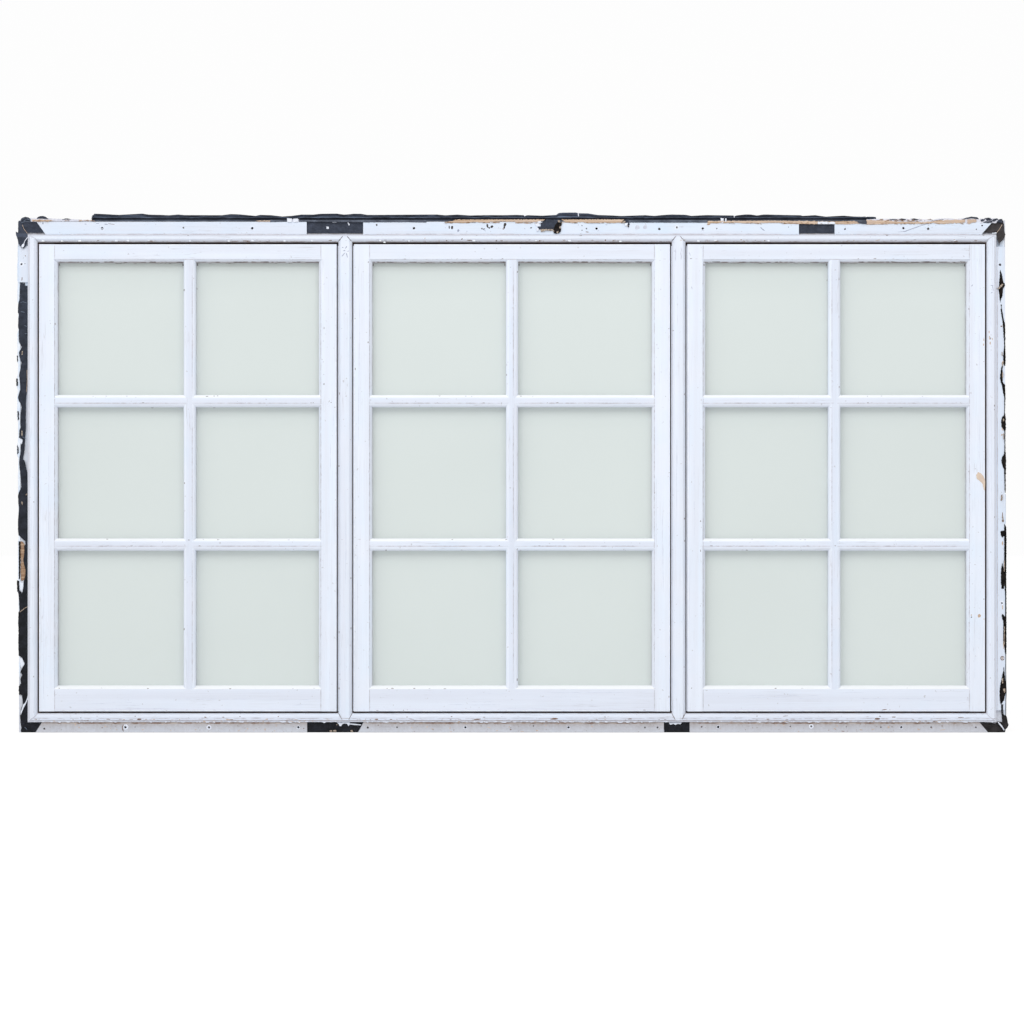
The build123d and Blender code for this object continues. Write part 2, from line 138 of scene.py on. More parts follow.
class Graph:
    """A material's node tree, with short calls for the nodes used here."""

    def __init__(self, name):
        self.material = bpy.data.materials.new(name)
        self.material.use_nodes = True
        self.tree = self.material.node_tree
        self.tree.nodes.clear()
        output = self.tree.nodes.new("ShaderNodeOutputMaterial")
        self.shader = self.tree.nodes.new("ShaderNodeBsdfPrincipled")
        self.tree.links.new(self.shader.outputs[0], output.inputs[0])
        self.place = self.tree.nodes.new("ShaderNodeNewGeometry").outputs["Position"]

    def set(self, socket, value):
        """Link a value that is an output, or write a plain one."""
        if isinstance(value, bpy.types.NodeSocket):
            self.tree.links.new(value, socket)
        elif isinstance(value, tuple) and len(value) == 3 and socket.type == "RGBA":
            socket.default_value = (*value, 1)
        else:
            socket.default_value = value

    def node(self, kind, inputs, output=0, **settings):
        made = self.tree.nodes.new(kind)
        for key, value in settings.items():
            setattr(made, key, value)
        for key, value in inputs.items():
            self.set(made.inputs[key], value)
        return made.outputs[output]

    def math(self, operation, a, b=0.0):
        return self.node("ShaderNodeMath", {0: a, 1: b}, operation=operation)

    def times(self, a, b):
        return self.math("MULTIPLY", a, b)

    def noise(self, vector, scale=1.0, detail=3.0, roughness=0.5):
        inputs = {"Vector": vector, "Scale": scale, "Detail": detail, "Roughness": roughness}
        return self.node("ShaderNodeTexNoise", inputs)

    def stretched(self, scale):
        return self.node("ShaderNodeMapping", {"Vector": self.place, "Scale": scale})

    def band(self, value, low, high, out_low=0.0, out_high=1.0):
        """Map a value from low..high to out_low..out_high, held at the ends."""
        inputs = {0: value, 1: low, 2: high, 3: out_low, 4: out_high}
        return self.node("ShaderNodeMapRange", inputs, clamp=True)

    def mix(self, factor, a, b):
        made = self.tree.nodes.new("ShaderNodeMix")
        made.data_type = "RGBA"
        self.set(made.inputs["Factor"], factor)
        self.set(made.inputs[6], a)
        self.set(made.inputs[7], b)
        return made.outputs[2]

    def bump(self, height, distance, strength=1.0):
        made = self.tree.nodes.new("ShaderNodeBump")
        made.inputs["Strength"].default_value = strength
        made.inputs["Distance"].default_value = distance
        self.set(made.inputs["Height"], height)
        return made.outputs[0]

    def axis(self, number):
        return self.node("ShaderNodeSeparateXYZ", {0: self.place}, output=number)

    def facing(self, direction):
        """How squarely the surface faces a direction."""
        normal = self.tree.nodes.new("ShaderNodeNewGeometry").outputs["True Normal"]
        inputs = {0: normal, 1: direction}
        return self.node("ShaderNodeVectorMath", inputs, output="Value", operation="DOT_PRODUCT")

    def along(self, grain, scale):
        """Coordinates stretched along the grain."""
        stretch = {"x": (1, 40, 40), "z": (40, 40, 1)}[grain]
        return self.stretched(tuple(scale * part for part in stretch))


def weathered(graph, grain, dull=0.0, cool=(0.0, 0.5)):
    """Colour and relief of white paint with brush marks, specks and fine cracks along the grain."""
    fine = graph.noise(graph.along(grain, 9), detail=4, roughness=0.6)
    broad = graph.noise(graph.along(grain, 1.2), detail=2)
    patches = graph.noise(graph.place, scale=5, detail=4, roughness=0.6)
    wide = graph.noise(graph.place, scale=13, detail=3)
    colour = graph.mix(graph.band(wide, 0.35, 0.7, *cool), PAINT, PAINT_COOL)
    colour = graph.mix(graph.band(broad, 0.38, 0.68, 0, 0.8), colour, PAINT_DULL)
    colour = graph.mix(graph.band(fine, 0.5, 0.8, 0, 0.4), colour, PAINT_DULL)
    if dull:
        colour = graph.mix(dull, colour, PAINT_DULL_AND_SHADE)
    grime = graph.times(graph.band(patches, 0.5, 0.75), graph.band(fine, 0.45, 0.7))
    colour = graph.mix(graph.times(grime, 0.22), colour, PAINT_GRIME)
    near_half = graph.math("SUBTRACT", graph.noise(graph.along(grain, 4), detail=2), 0.5)
    crack = graph.band(graph.math("ABSOLUTE", near_half), 0.0, 0.01, 1, 0)
    crack_here = graph.band(graph.noise(graph.place, scale=8, detail=2), 0.55, 0.64)
    crack = graph.times(crack, crack_here)
    colour = graph.mix(graph.times(crack, 0.5), colour, PAINT_GRIME)
    speck = graph.band(graph.noise(graph.place, scale=150, detail=1), 0.74, 0.78, 0, 0.5)
    colour = graph.mix(speck, colour, PAINT_GRIME)
    return colour, graph.math("SUBTRACT", fine, crack), patches


def wood_tones(graph, grain, pale, dark):
    """Streaked wood, in places greyed and cracked."""
    lines = graph.noise(graph.along(grain, 11), detail=5, roughness=0.7)
    greyed = graph.noise(graph.place, scale=45, detail=3)
    colour = graph.mix(graph.band(lines, 0.40, 0.62), pale, dark)
    old = graph.mix(0.5, dark, (0.55, 0.47, 0.44))
    colour = graph.mix(graph.band(greyed, 0.5, 0.65, 0, 0.6), colour, old)
    return colour, lines


def shaded_dirty_lip(graph, colour, start, end, strength, dirt=EDGE_DIRT_AND_SHADE):
    """Dirt and painted shade on a lip or bevel, from one depth to another, blotchy along its length."""
    blotches = graph.noise(graph.place, scale=38, detail=4, roughness=0.7)
    here = graph.band(graph.axis(1), start, end)
    share = graph.times(here, graph.band(blotches, 0.3, 0.6, 0.45, 1.0))
    return graph.mix(graph.times(share, strength), colour, dirt)


def paint_material(
    name, grain, bare_sides=(), dirty_shaded_lips=(), dull=0.0, cool=(0.0, 0.5), front_shade=0.0, steps=(),
    top_highlight=0.0,
):
    """Weathered white paint. Each of bare_sides is (direction, colour, depth): what faces that way
    behind that depth was never painted. Each of dirty_shaded_lips is (start depth, end depth,
    strength) of gathered dirt and painted shade, and each of steps (depth from, depth to, strength)
    for dirt and painted shade between two depths. front_shade greys what faces straight forward, a
    painted shade, and top_highlight whitens the bevels that face up, a painted highlight."""
    graph = Graph(name)
    colour, height, patches = weathered(graph, grain, dull, cool)
    # Painted highlight: what faces up is whitened
    if top_highlight:
        top_highlight_share = graph.band(graph.facing(UP), 0.25, 0.6, 0, top_highlight)
        colour = graph.mix(top_highlight_share, colour, PAINT_HIGHLIGHT)
    # Painted shade: what faces straight forward is greyed
    if front_shade:
        flat = graph.band(graph.facing(FORWARD), 0.975, 0.995, 0, front_shade)
        colour = graph.mix(flat, colour, PAINT_DULL_AND_SHADE)
    # Dirt and painted shade on lips and bevels
    for start, end, strength in dirty_shaded_lips:
        colour = shaded_dirty_lip(graph, colour, start, end, strength)
    # Dirt and painted shade along each step
    for start, end, strength in steps:
        middle = (start + end) / 2
        away = graph.math("ABSOLUTE", graph.math("SUBTRACT", graph.axis(1), middle))
        near = graph.band(away, (end - start) / 2, (end - start) / 2 + 0.0002, strength, 0)
        share = graph.times(near, graph.band(graph.facing(FORWARD), 0.9, 0.97))
        colour = graph.mix(share, colour, PAINT_GRIME)
    for direction, bare, depth in bare_sides:
        wood, _ = wood_tones(graph, grain, bare, OLD_WOOD)
        facing = graph.band(graph.facing(direction), 0.75, 0.85)
        here = graph.times(facing, graph.band(graph.axis(1), depth, depth + 0.002))
        colour = graph.mix(here, colour, wood)
    graph.set(graph.shader.inputs["Base Color"], colour)
    graph.set(graph.shader.inputs["Roughness"], graph.band(patches, 0.3, 0.7, 0.38, 0.55))
    graph.set(graph.shader.inputs["Normal"], graph.bump(height, 0.0002, 0.6))
    return graph.material


def shaded_dirty_strip_material(name, top, bottom):
    """The strip at the foot of the window: rain has run down it and left dirt, and under the lip it is
    darker with dirt and painted shade.
    """
    graph = Graph(name)
    colour, height, _ = weathered(graph, "x")
    streaks = graph.noise(graph.stretched((160, 40, 12)), detail=3)
    specks = graph.noise(graph.place, scale=170, detail=3, roughness=0.7)
    clouds = graph.noise(graph.place, scale=22, detail=3)
    up = graph.axis(2)
    # Darker and browner towards the top: dirt, and painted shade under the sill lip
    dirt = graph.band(up, bottom, top, 0.46, 0.92)
    dirt = graph.times(dirt, graph.band(streaks, 0.3, 0.7, 0.93, 1.05))
    dirt = graph.times(dirt, graph.band(specks, 0.3, 0.7, 0.85, 1.12))
    dirt = graph.times(dirt, graph.band(clouds, 0.3, 0.7, 0.9, 1.1))
    tone = graph.mix(graph.band(up, top - 0.012, top, 0, 0.8), STRIP_DIRT_AND_SHADE, STRIP_TAN)
    colour = graph.mix(graph.band(dirt, 0, 1), colour, tone)
    spots = graph.band(graph.noise(graph.place, scale=230, detail=1), 0.70, 0.74, 0, 0.7)
    colour = graph.mix(spots, colour, STRIP_SPOT)
    graph.set(graph.shader.inputs["Base Color"], colour)
    graph.shader.inputs["Roughness"].default_value = 0.6
    graph.set(graph.shader.inputs["Normal"], graph.bump(height, 0.0003, 0.6))
    return graph.material


GLASS_Y = SASH_Y + 0.020
# Top row of each row of panes, and how far the bar's shade reaches down it in metres
PANE_SHADES = ((262.5, 0.085), (408.5, 0.050), (551.5, 0.050))


def glass_material():
    """Obscured glass: smooth in front, pale, with a faint cloudiness and painted shade below the top of
    each row of panes.
    """
    graph = Graph("obscured_glass")
    cloud = graph.noise(graph.place, scale=2.2, detail=2)
    colour = graph.mix(graph.band(cloud, 0.3, 0.7), GLASS_TINT, GLASS_CLOUD)
    up = graph.axis(2)
    for row, reach in PANE_SHADES:
        top = at(0, row, GLASS_Y).z
        below = graph.band(up, top - reach, top)
        above = graph.band(up, top, top + 0.001, 1, 0)
        share = graph.times(graph.times(below, above), 0.11)
        colour = graph.mix(share, colour, GLASS_SHADE)
    graph.set(graph.shader.inputs["Base Color"], colour)
    graph.shader.inputs["Roughness"].default_value = 0.3
    graph.shader.inputs["Specular IOR Level"].default_value = 0.4
    return graph.material


def membrane_material():
    """Black flashing membrane, crinkled, with pale dust, more of it towards the top, and a painted
    highlight on what faces up.
    """
    graph = Graph("membrane")
    dust = graph.noise(graph.place, scale=55, detail=4, roughness=0.7)
    crinkle = graph.noise(graph.place, scale=130, detail=3)
    colour = graph.mix(graph.band(dust, 0.42, 0.72), MEMBRANE, MEMBRANE_DUST)
    # Paler dust, more of it towards the top
    high = graph.band(graph.axis(2), HEAD_TOP - 0.9, HEAD_TOP, 0, 0.8)
    colour = graph.mix(graph.times(high, dust), colour, MEMBRANE_HIGHLIGHT_AND_DUST)
    # Painted highlight on what faces up
    lit = graph.band(graph.facing(UP), 0.25, 0.75, 0, 0.9)
    colour = graph.mix(lit, colour, MEMBRANE_HIGHLIGHT_AND_DUST)
    graph.set(graph.shader.inputs["Base Color"], colour)
    graph.shader.inputs["Roughness"].default_value = 0.42
    graph.shader.inputs["Specular IOR Level"].default_value = 0.16
    graph.set(graph.shader.inputs["Normal"], graph.bump(crinkle, 0.0016, 0.9))
    return graph.material


# Colours of the rolled membrane, the first three as a dark and a pale tone. The fold's
# pair is painted shade, the shelf a painted highlight and the groove a painted shadow
ROLL_LEAF = (0.022, 0.026, 0.038), (0.055, 0.065, 0.092)
ROLL_HEM = (0.055, 0.062, 0.082), (0.110, 0.130, 0.170)
ROLL_FOLD_SHADE = (0.0012, 0.0016, 0.0042), (0.008, 0.011, 0.022)
ROLL_SHELF_HIGHLIGHT = (0.125, 0.163, 0.235)
ROLL_GROOVE_SHADOW = (0.002, 0.002, 0.004)
ROLL_HUMP = (0.070, 0.088, 0.130)
# The hump is the raised run of the roll over the middle sash
HUMP_COLUMN = 573


def roll_material():
    """The folded membrane: an upper fold in painted shade, a shelf in painted highlight, a groove in
    painted shadow and a faded hem.
    """
    graph = Graph("rolled_membrane")
    long = graph.noise(graph.stretched((26, 70, 70)), detail=4, roughness=0.65)
    crinkle = graph.noise(graph.place, scale=130, detail=3)
    tone = graph.band(long, 0.4, 0.65)
    up, back = graph.axis(2), graph.axis(1)
    colour = graph.mix(tone, *ROLL_LEAF)
    # Painted highlight on the shelf, where it faces up
    shelf_highlight = graph.times(
        graph.band(graph.facing(UP), 0.2, 0.6), graph.band(tone, 0, 1, 0.45, 1.0)
    )
    colour = graph.mix(shelf_highlight, colour, ROLL_SHELF_HIGHLIGHT)
    hem = graph.band(up, HEAD_TOP + 0.0008, HEAD_TOP + 0.0014, 1, 0)
    colour = graph.mix(hem, colour, graph.mix(tone, *ROLL_HEM))
    # Painted shadow in the groove near the foot of the roll
    away = graph.math("ABSOLUTE", graph.math("SUBTRACT", up, HEAD_TOP + 0.0028))
    groove_shadow = graph.band(away, 0.0011, 0.0016, 1, 0)
    colour = graph.mix(groove_shadow, colour, ROLL_GROOVE_SHADOW)
    # Painted shade on the upper fold
    upper = graph.band(back, RIM_Y + 0.0042, RIM_Y + 0.0050)
    colour = graph.mix(upper, colour, graph.mix(tone, *ROLL_FOLD_SHADE))
    middle = at(HUMP_COLUMN, 0, RIM_Y).x
    away = graph.math("ABSOLUTE", graph.math("SUBTRACT", graph.axis(0), middle))
    hump = graph.times(graph.band(away, 0.040, 0.070, 0.9, 0), upper)
    colour = graph.mix(hump, colour, ROLL_HUMP)
    graph.set(graph.shader.inputs["Base Color"], colour)
    graph.shader.inputs["Roughness"].default_value = 0.42
    graph.shader.inputs["Specular IOR Level"].default_value = 0.06
    graph.set(graph.shader.inputs["Normal"], graph.bump(crinkle, 0.0014, 0.8))
    return graph.material


def mottled(name, colour, other, roughness, scale, metallic=0.0, relief=0.0003, specular=0.5):
    """Two tones of one colour, mottled."""
    graph = Graph(name)
    mottle = graph.noise(graph.place, scale=scale, detail=4)
    tones = graph.mix(graph.band(mottle, 0.4, 0.65), colour, other)
    graph.set(graph.shader.inputs["Base Color"], tones)
    graph.shader.inputs["Roughness"].default_value = roughness
    graph.shader.inputs["Metallic"].default_value = metallic
    graph.shader.inputs["Specular IOR Level"].default_value = specular
    graph.set(graph.shader.inputs["Normal"], graph.bump(mottle, relief, 0.5))
    return graph.material


def wood_material(name, pale, dark, grain="x"):
    """Bare wood, streaked along the grain."""
    graph = Graph(name)
    colour, lines = wood_tones(graph, grain, pale, dark)
    graph.set(graph.shader.inputs["Base Color"], colour)
    graph.shader.inputs["Roughness"].default_value = 0.8
    graph.set(graph.shader.inputs["Normal"], graph.bump(lines, 0.0004, 0.7))
    return graph.material


membrane_stuff = membrane_material()
rolled_membrane = roll_material()
white_flake = mottled("paint_flake", PAINT, PAINT_DULL, 0.5, 60)
rim_skin = mottled("rim_skin", (0.68, 0.77, 0.90), (0.80, 0.85, 0.93), 0.6, 45)
tar = mottled("tar", (0.002, 0.002, 0.002), (0.014, 0.011, 0.010), 0.6, 110, specular=0.1)
warm_membrane = mottled(
    "warm_membrane", (0.034, 0.030, 0.031), (0.060, 0.055, 0.058), 0.5, 70,
    relief=0.0010, specular=0.16,
)
tar_membrane = mottled(
    "tar_membrane", (0.012, 0.011, 0.011), (0.036, 0.032, 0.033), 0.5, 70,
    relief=0.0010, specular=0.14,
)
faded_membrane = mottled(
    "faded_membrane", (0.055, 0.063, 0.085), (0.120, 0.138, 0.180), 0.6, 50, specular=0.2
)
slate = mottled("slate", (0.30, 0.33, 0.43), (0.48, 0.51, 0.62), 0.7, 60)
trace = mottled("trace", (0.64, 0.68, 0.79), (0.73, 0.78, 0.88), 0.6, 40)
scuff = mottled("scuff", (0.54, 0.56, 0.66), (0.68, 0.71, 0.81), 0.6, 120)
bare_wood = wood_material("bare_wood", BARE_WOOD, WOOD_SHADE)
dark_wood = wood_material("dark_wood", WOOD_SHADE, BROWN_WOOD)
rim_paint = mottled("rim_paint", RIM_PAINT, (0.74, 0.74, 0.81), 0.7, 120)
brown_wood = wood_material("brown_wood", BROWN_WOOD, OLD_WOOD)
grime = mottled("grime", GRIME, (0.30, 0.27, 0.28), 0.8, 300)
faint_grime = mottled("faint_grime", (0.56, 0.56, 0.63), (0.64, 0.65, 0.73), 0.7, 300)
# Painted shade of the small holes, and dark blots
hole_shade_and_blots = mottled("hole_shade_and_blots", HOLE, (0.06, 0.05, 0.05), 0.8, 300)
# Paler paint for painted highlights on edges and blisters
highlight_paint = mottled("highlight_paint", (0.90, 0.93, 0.97), PAINT, 0.4, 60)
# Grey dirt and painted shade in seams, quirks and cracks and along the bars
seam_dirt_and_shade = mottled("seam_dirt_and_shade", (0.46, 0.44, 0.49), (0.60, 0.60, 0.66), 0.8, 60)
old_filler = mottled("old_filler", (0.50, 0.42, 0.34), (0.16, 0.11, 0.09), 0.9, 300)
crease_sheen = mottled("crease_sheen", (0.115, 0.145, 0.205), (0.055, 0.07, 0.105), 0.5, 200)
# Brown stain and painted shade under the head lip and beside the blisters
lip_stain_and_shade = mottled("lip_stain_and_shade", (0.17, 0.10, 0.07), (0.42, 0.34, 0.29), 0.8, 34)
# Rust stain and painted shade under the sill lip
sill_stain_and_shade = mottled("sill_stain_and_shade", (0.24, 0.16, 0.125), (0.48, 0.41, 0.37), 0.8, 40)
# Dark dirt and painted shade in recesses and cracks
dark_dirt_and_shade = mottled("dark_dirt_and_shade", (0.13, 0.11, 0.11), (0.26, 0.23, 0.22), 0.8, 45)


def dress(node, material):
    """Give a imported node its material."""
    slots = nodes[node].data.materials
    slots.clear()
    slots.append(material)


def dress_cad():
    """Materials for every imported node."""
    gap = SASH_Y + 0.004
    edge = SASH_Y + 0.003
    # Dirt and painted shade along the step by the fillet
    fillet_dirt_and_shade = ((FACE_Y + 0.0020, FACE_Y + 0.0030, 0.34),)
    # The lips of the frame get dirt and painted shade where the mouldings turn down to the gap
    lip = (FACE_Y + 0.0045, FACE_Y + 0.0080, 0.5)
    head_lip = (FACE_Y + 0.0032, FACE_Y + 0.0072, 0.62)
    side_lip = (FACE_Y + 0.004, FACE_Y + 0.009, 0.3)
    sides = {
        "head": ("x", ((UP, BARE_WOOD, RIM_Y), (DOWN, GAP_BROWN, gap)), (head_lip,)),
        "sill": ("x", ((DOWN, BARE_WOOD, RIM_Y), (UP, GAP_BROWN, gap)), (lip,)),
        "left_jamb": ("z", ((LEFT, BARE_WOOD, RIM_Y), (RIGHT, GAP_BROWN, gap)), (side_lip,)),
        "right_jamb": ("z", ((RIGHT, BARE_WOOD, RIM_Y), (LEFT, GAP_BROWN, gap)), (side_lip,)),
        "left_mullion": ("z", ((LEFT, GAP_BROWN, gap), (RIGHT, GAP_BROWN, gap)), (side_lip,)),
        "right_mullion": ("z", ((LEFT, GAP_BROWN, gap), (RIGHT, GAP_BROWN, gap)), (side_lip,)),
    }
    for node, (grain, bare, dirty_shaded_lips) in sides.items():
        front_shade = 0.14 if node == "sill" else 0.04
        paint = paint_material(
            f"{node}_paint", grain, bare, dirty_shaded_lips, steps=fillet_dirt_and_shade, front_shade=front_shade
        )
        dress(node, paint)
    bevel_dirt = (SASH_Y + 0.002, SASH_Y + 0.006, 0.10)
    # Dirt and painted shade deep on the stiles' bevels, by the glass
    stile_dirt_and_shade = (bevel_dirt, (SASH_Y + 0.007, SASH_Y + 0.009, 0.5))
    sash_sides = {
        "top_rail": {
            "grain": "x",
            "bare_sides": ((UP, GAP_BROWN, edge),),
            # Dirt and painted shade along the foot of the top rail's bevel, over the glass
            "dirty_shaded_lips": (bevel_dirt, (SASH_Y + 0.0045, SASH_Y + 0.0075, 0.8)),
            "dull": 0.06,
        },
        "bottom_rail": {
            "grain": "x",
            "bare_sides": ((DOWN, GAP_BROWN, edge),),
            "dull": 0.09,
            "cool": (0.0, 0.2),
            "top_highlight": 0.95,
        },
        "left_stile": {
            "grain": "z", "bare_sides": ((LEFT, GAP_BROWN, edge),), "dirty_shaded_lips": stile_dirt_and_shade,
        },
        "right_stile": {
            "grain": "z", "bare_sides": ((RIGHT, GAP_BROWN, edge),), "dirty_shaded_lips": stile_dirt_and_shade,
        },
        # Dirt and painted shade at the foot of the bars' shoulders
        "vertical_bar": {
            "grain": "z", "front_shade": 0.13, "dirty_shaded_lips": ((SASH_Y + 0.007, SASH_Y + 0.01, 0.3),),
        },
        "cross_bars": {
            "grain": "x", "front_shade": 0.10, "top_highlight": 0.9,
            "dirty_shaded_lips": ((SASH_Y + 0.008, SASH_Y + 0.011, 0.2),),
        },
        "glazing_beads": {"grain": "z"},
        "inner_bars": {"grain": "z"},
    }
    glass = glass_material()
    for piece, looks in sash_sides.items():
        paint = paint_material(f"{piece}_paint", **looks)
        for side in SASHES:
            dress(f"{side}_sash_{piece}", paint)
    for side in SASHES:
        dress(f"{side}_sash_glass", glass)
    dress("head_cover_strips", paint_material("head_strip_paint", "x", dull=0.13, cool=(0.3, 1.0)))
    sill_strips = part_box("sill_cover_strips")
    dress(
        "sill_cover_strips",
        shaded_dirty_strip_material("sill_strip_paint", sill_strips[1].z, sill_strips[0].z),
    )
    strip_paint = paint_material("side_strip_paint", "z", dull=0.12, cool=(0.6, 1.0))
    dress("left_cover_strip", strip_paint)
    dress("right_cover_strip", strip_paint)
    for node in ("head_membrane", "sill_membrane", "left_membrane", "right_membrane"):
        dress(node, membrane_stuff)
    dress("head_membrane_roll", rolled_membrane)
    dress("glass_spacers", mottled("spacer", (0.4, 0.4, 0.41), (0.3, 0.3, 0.31), 0.45, 90, 1.0))
    dress("sash_seals", mottled("seal", (0.30, 0.20, 0.17), (0.40, 0.28, 0.24), 0.8, 120))


def hard_surface():
    """Every packed surface but the membranes, to lay the wear on."""
    points, triangles = [], []
    for name, piece in nodes.items():
        if "membrane" in name:
            continue
        start = len(points)
        points += [piece.matrix_world @ vertex.co for vertex in piece.data.vertices]
        triangles += [[start + corner for corner in face.vertices] for face in piece.data.polygons]
    return BVHTree.FromPolygons(points, triangles)


surface = hard_surface()


def touch(column, row):
    """Where the sight line through a place on the photograph meets the window."""
    depth = FACE_Y
    for _ in range(3):
        start = at(column, row, depth)
        start.y = FACE_Y - 0.1
        hit, normal, _, _ = surface.ray_cast(start, Vector((0, 1, 0)))
        if hit is None:
            return at(column, row, RIM_Y), Vector(FORWARD)
        depth = hit.y
    return hit, normal


def column_of(x, depth):
    """The photograph's column for a place across the window at this depth."""
    return MIDDLE_COLUMN + x / scale_at(depth)


def row_of(z, depth):
    """The photograph's row for a height at this depth."""
    return IMAGE_SIDE / 2 - (z - CAMERA_HEIGHT) / scale_at(depth)


def above_floor(place):
    """The place, raised to just over the floor if it is lower."""
    place.z = max(place.z, 0.0002)
    return place


class Shape:
    """Vertices and faces gathered for one mesh."""

    def __init__(self):
        self.points = []
        self.faces = []

    def put(self, points, faces):
        start = len(self.points)
        self.points += points
        self.faces += [[start + corner for corner in face] for face in faces]

    def make(self, name, material):
        """A mesh object that rides on the window."""
        mesh = bpy.data.meshes.new(name)
        mesh.from_pydata(self.points, [], self.faces)
        mesh.materials.append(material)
        mesh.validate()
        for polygon in mesh.polygons:
            polygon.use_smooth = True
        made = bpy.data.objects.new(name, mesh)
        bpy.context.scene.collection.objects.link(made)
        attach(made, "root")
        return made


def resample(points, spacing, closed=False):
    """Points set evenly along a line, its own corners kept."""
    ends = points[1:] + points[:1] if closed else points[1:]
    result = []
    for (x0, y0), (x1, y1) in zip(points, ends):
        steps = max(1, round(math.dist((x0, y0), (x1, y1)) / spacing))
        for step in range(steps):
            share = step / steps
            result.append((x0 + (x1 - x0) * share, y0 + (y1 - y0) * share))
    if not closed:
        result.append(points[-1])
    return result


def inside(point, outline):
    """Whether a point lies inside a closed outline."""
    x, y = point
    crossings = 0
    for (x0, y0), (x1, y1) in zip(outline, outline[1:] + outline[:1]):
        if (y0 > y) != (y1 > y) and x < x0 + (y - y0) * (x1 - x0) / (y1 - y0):
            crossings += 1
    return crossings % 2 == 1


def torn_sheet(shape, outline, depth, thickness, spacing=1.0, torn=0.25, lift=None):
    """A thin sheet with a torn outline, given in columns and rows. lift(column, row) is how far
    its face stands forward of the depth, in metres."""
    edge = []
    for column, row in resample(outline, spacing * 0.8, closed=True):
        shift = noise.noise_vector(Vector((column * 0.9, row * 0.9, depth * 50)))
        edge.append((column + torn * shift.x, row + torn * shift.y))
    columns = [column for column, _ in edge]
    rows = [row for _, row in edge]
    inner = []
    row = min(rows) + spacing / 2
    while row < max(rows):
        column = min(columns) + spacing / 2
        while column < max(columns):
            jitter = (
                column + spacing * 0.3 * (chance.random() - 0.5),
                row + spacing * 0.3 * (chance.random() - 0.5),
            )
            clear = min(math.dist(jitter, place) for place in edge) > spacing * 0.4
            if clear and inside(jitter, edge):
                inner.append(jitter)
            column += spacing
        row += spacing
    flat = [Vector(place) for place in edge + inner]
    made, _, triangles, *_ = delaunay_2d_cdt(flat, [], [list(range(len(edge)))], 1, 1e-5)
    count = len(made)
    front = []
    for place in made:
        raised = lift(place.x, place.y) if lift else 0.0
        front.append(above_floor(at(place.x, place.y, depth - thickness - raised)))
    back = [above_floor(at(place.x, place.y, depth)) for place in made]
    faces = [list(triangle) for triangle in triangles]
    sides = {}
    for a, b, c in faces:
        for pair in ((a, b), (b, c), (c, a)):
            sides[pair] = True
    rim = [pair for pair in sides if (pair[1], pair[0]) not in sides]
    behind = [[c + count, b + count, a + count] for a, b, c in faces]
    walls = [[b, a, a + count, b + count] for a, b in rim]
    shape.put(front + back, faces + behind + walls)


def torn_sheets(shape, outlines, depth, thickness, spacing, torn, lift=None):
    """Several torn sheets at one depth."""
    for outline in outlines:
        torn_sheet(shape, outline, depth, thickness, spacing, torn, lift)


def crinkled(amount, size, stretch=(1.0, 1.0), seed=0.0):
    """A lift that follows a noise of the given size, in pixels."""

    def lift(column, row):
        place = Vector((column * stretch[0] / size, row * stretch[1] / size, seed))
        return amount * (0.5 + 0.5 * noise.noise(place))

    return lift


# A mark that would reach over an edge deeper than this, in metres, is left out
MARK_STEP = 0.004


def mark(shape, column, row, width, height, turn=0.0, lift=0.00012):
    """An irregular spot laid on the surface: half embedded, its middle raised a little."""
    centre, normal = touch(column, row)
    points = [centre + normal * lift]
    turned = math.radians(turn)
    corners = 12
    seed = chance.random() * 100
    for ring in (0.55, 1.0):
        for corner in range(corners):
            angle = math.tau * corner / corners
            reach = ring * (1 + 0.35 * noise.noise(Vector((math.cos(angle), math.sin(angle), seed))))
            x = width / 2 * reach * math.cos(angle)
            y = height / 2 * reach * math.sin(angle)
            place, out = touch(
                column + x * math.cos(turned) - y * math.sin(turned),
                row + x * math.sin(turned) + y * math.cos(turned),
            )
            if abs(place.y - centre.y) > MARK_STEP:
                return
            points.append(above_floor(place + out * (lift if ring < 1 else -0.00005)))
    faces = [[0, 1 + (corner + 1) % corners, 1 + corner] for corner in range(corners)]
    for corner in range(corners):
        following = (corner + 1) % corners
        outer = 1 + corners
        faces.append([1 + corner, 1 + following, outer + following, outer + corner])
    shape.put(points, [list(reversed(face)) for face in faces])


def stroke(shape, points, width, lift=0.0001, uneven=0.3):
    """A thin line laid on the surface, tapering at its ends."""
    line = points if len(points) > 9 else resample(points, 1.5)
    if len(line) < 3:
        line = resample(points, 0.5)
    made = []
    for index, (column, row) in enumerate(line):
        before = line[max(0, index - 1)]
        after = line[min(len(line) - 1, index + 1)]
        run = math.dist(before, after) or 1
        across = ((before[1] - after[1]) / run, (after[0] - before[0]) / run)
        share = index / (len(line) - 1)
        taper = min(1.0, 0.25 + 4 * min(share, 1 - share))
        wave = 1 + uneven * noise.noise(Vector((column * 0.4, row * 0.4, 3.7)))
        half = width / 2 * taper * wave
        for side in (-1, 1):
            place, out = touch(column + across[0] * side * half, row + across[1] * side * half)
            made.append(above_floor(place + out * lift))
    faces = [[2 * i, 2 * i + 1, 2 * i + 3, 2 * i + 2] for i in range(len(line) - 1)]
    shape.put(made, faces)


def bead(shape, points, depth, half=0.0008):
    """A thin raised line of triangular section at a depth, over the membrane."""
    line = [at(column, row, depth) for column, row in resample(points, 1.0)]
    made, faces = [], []
    for index, place in enumerate(line):
        following = line[min(len(line) - 1, index + 1)]
        before = line[max(0, index - 1)]
        run = (following - before).normalized()
        across = Vector((-run.z, 0, run.x)) * half
        made += [place + across, place + Vector((0, -0.0006, 0)), place - across]
    for index in range(len(line) - 1):
        start = 3 * index
        faces += [
            [start, start + 1, start + 4, start + 3],
            [start + 1, start + 2, start + 5, start + 4],
        ]
    shape.put(made, faces)


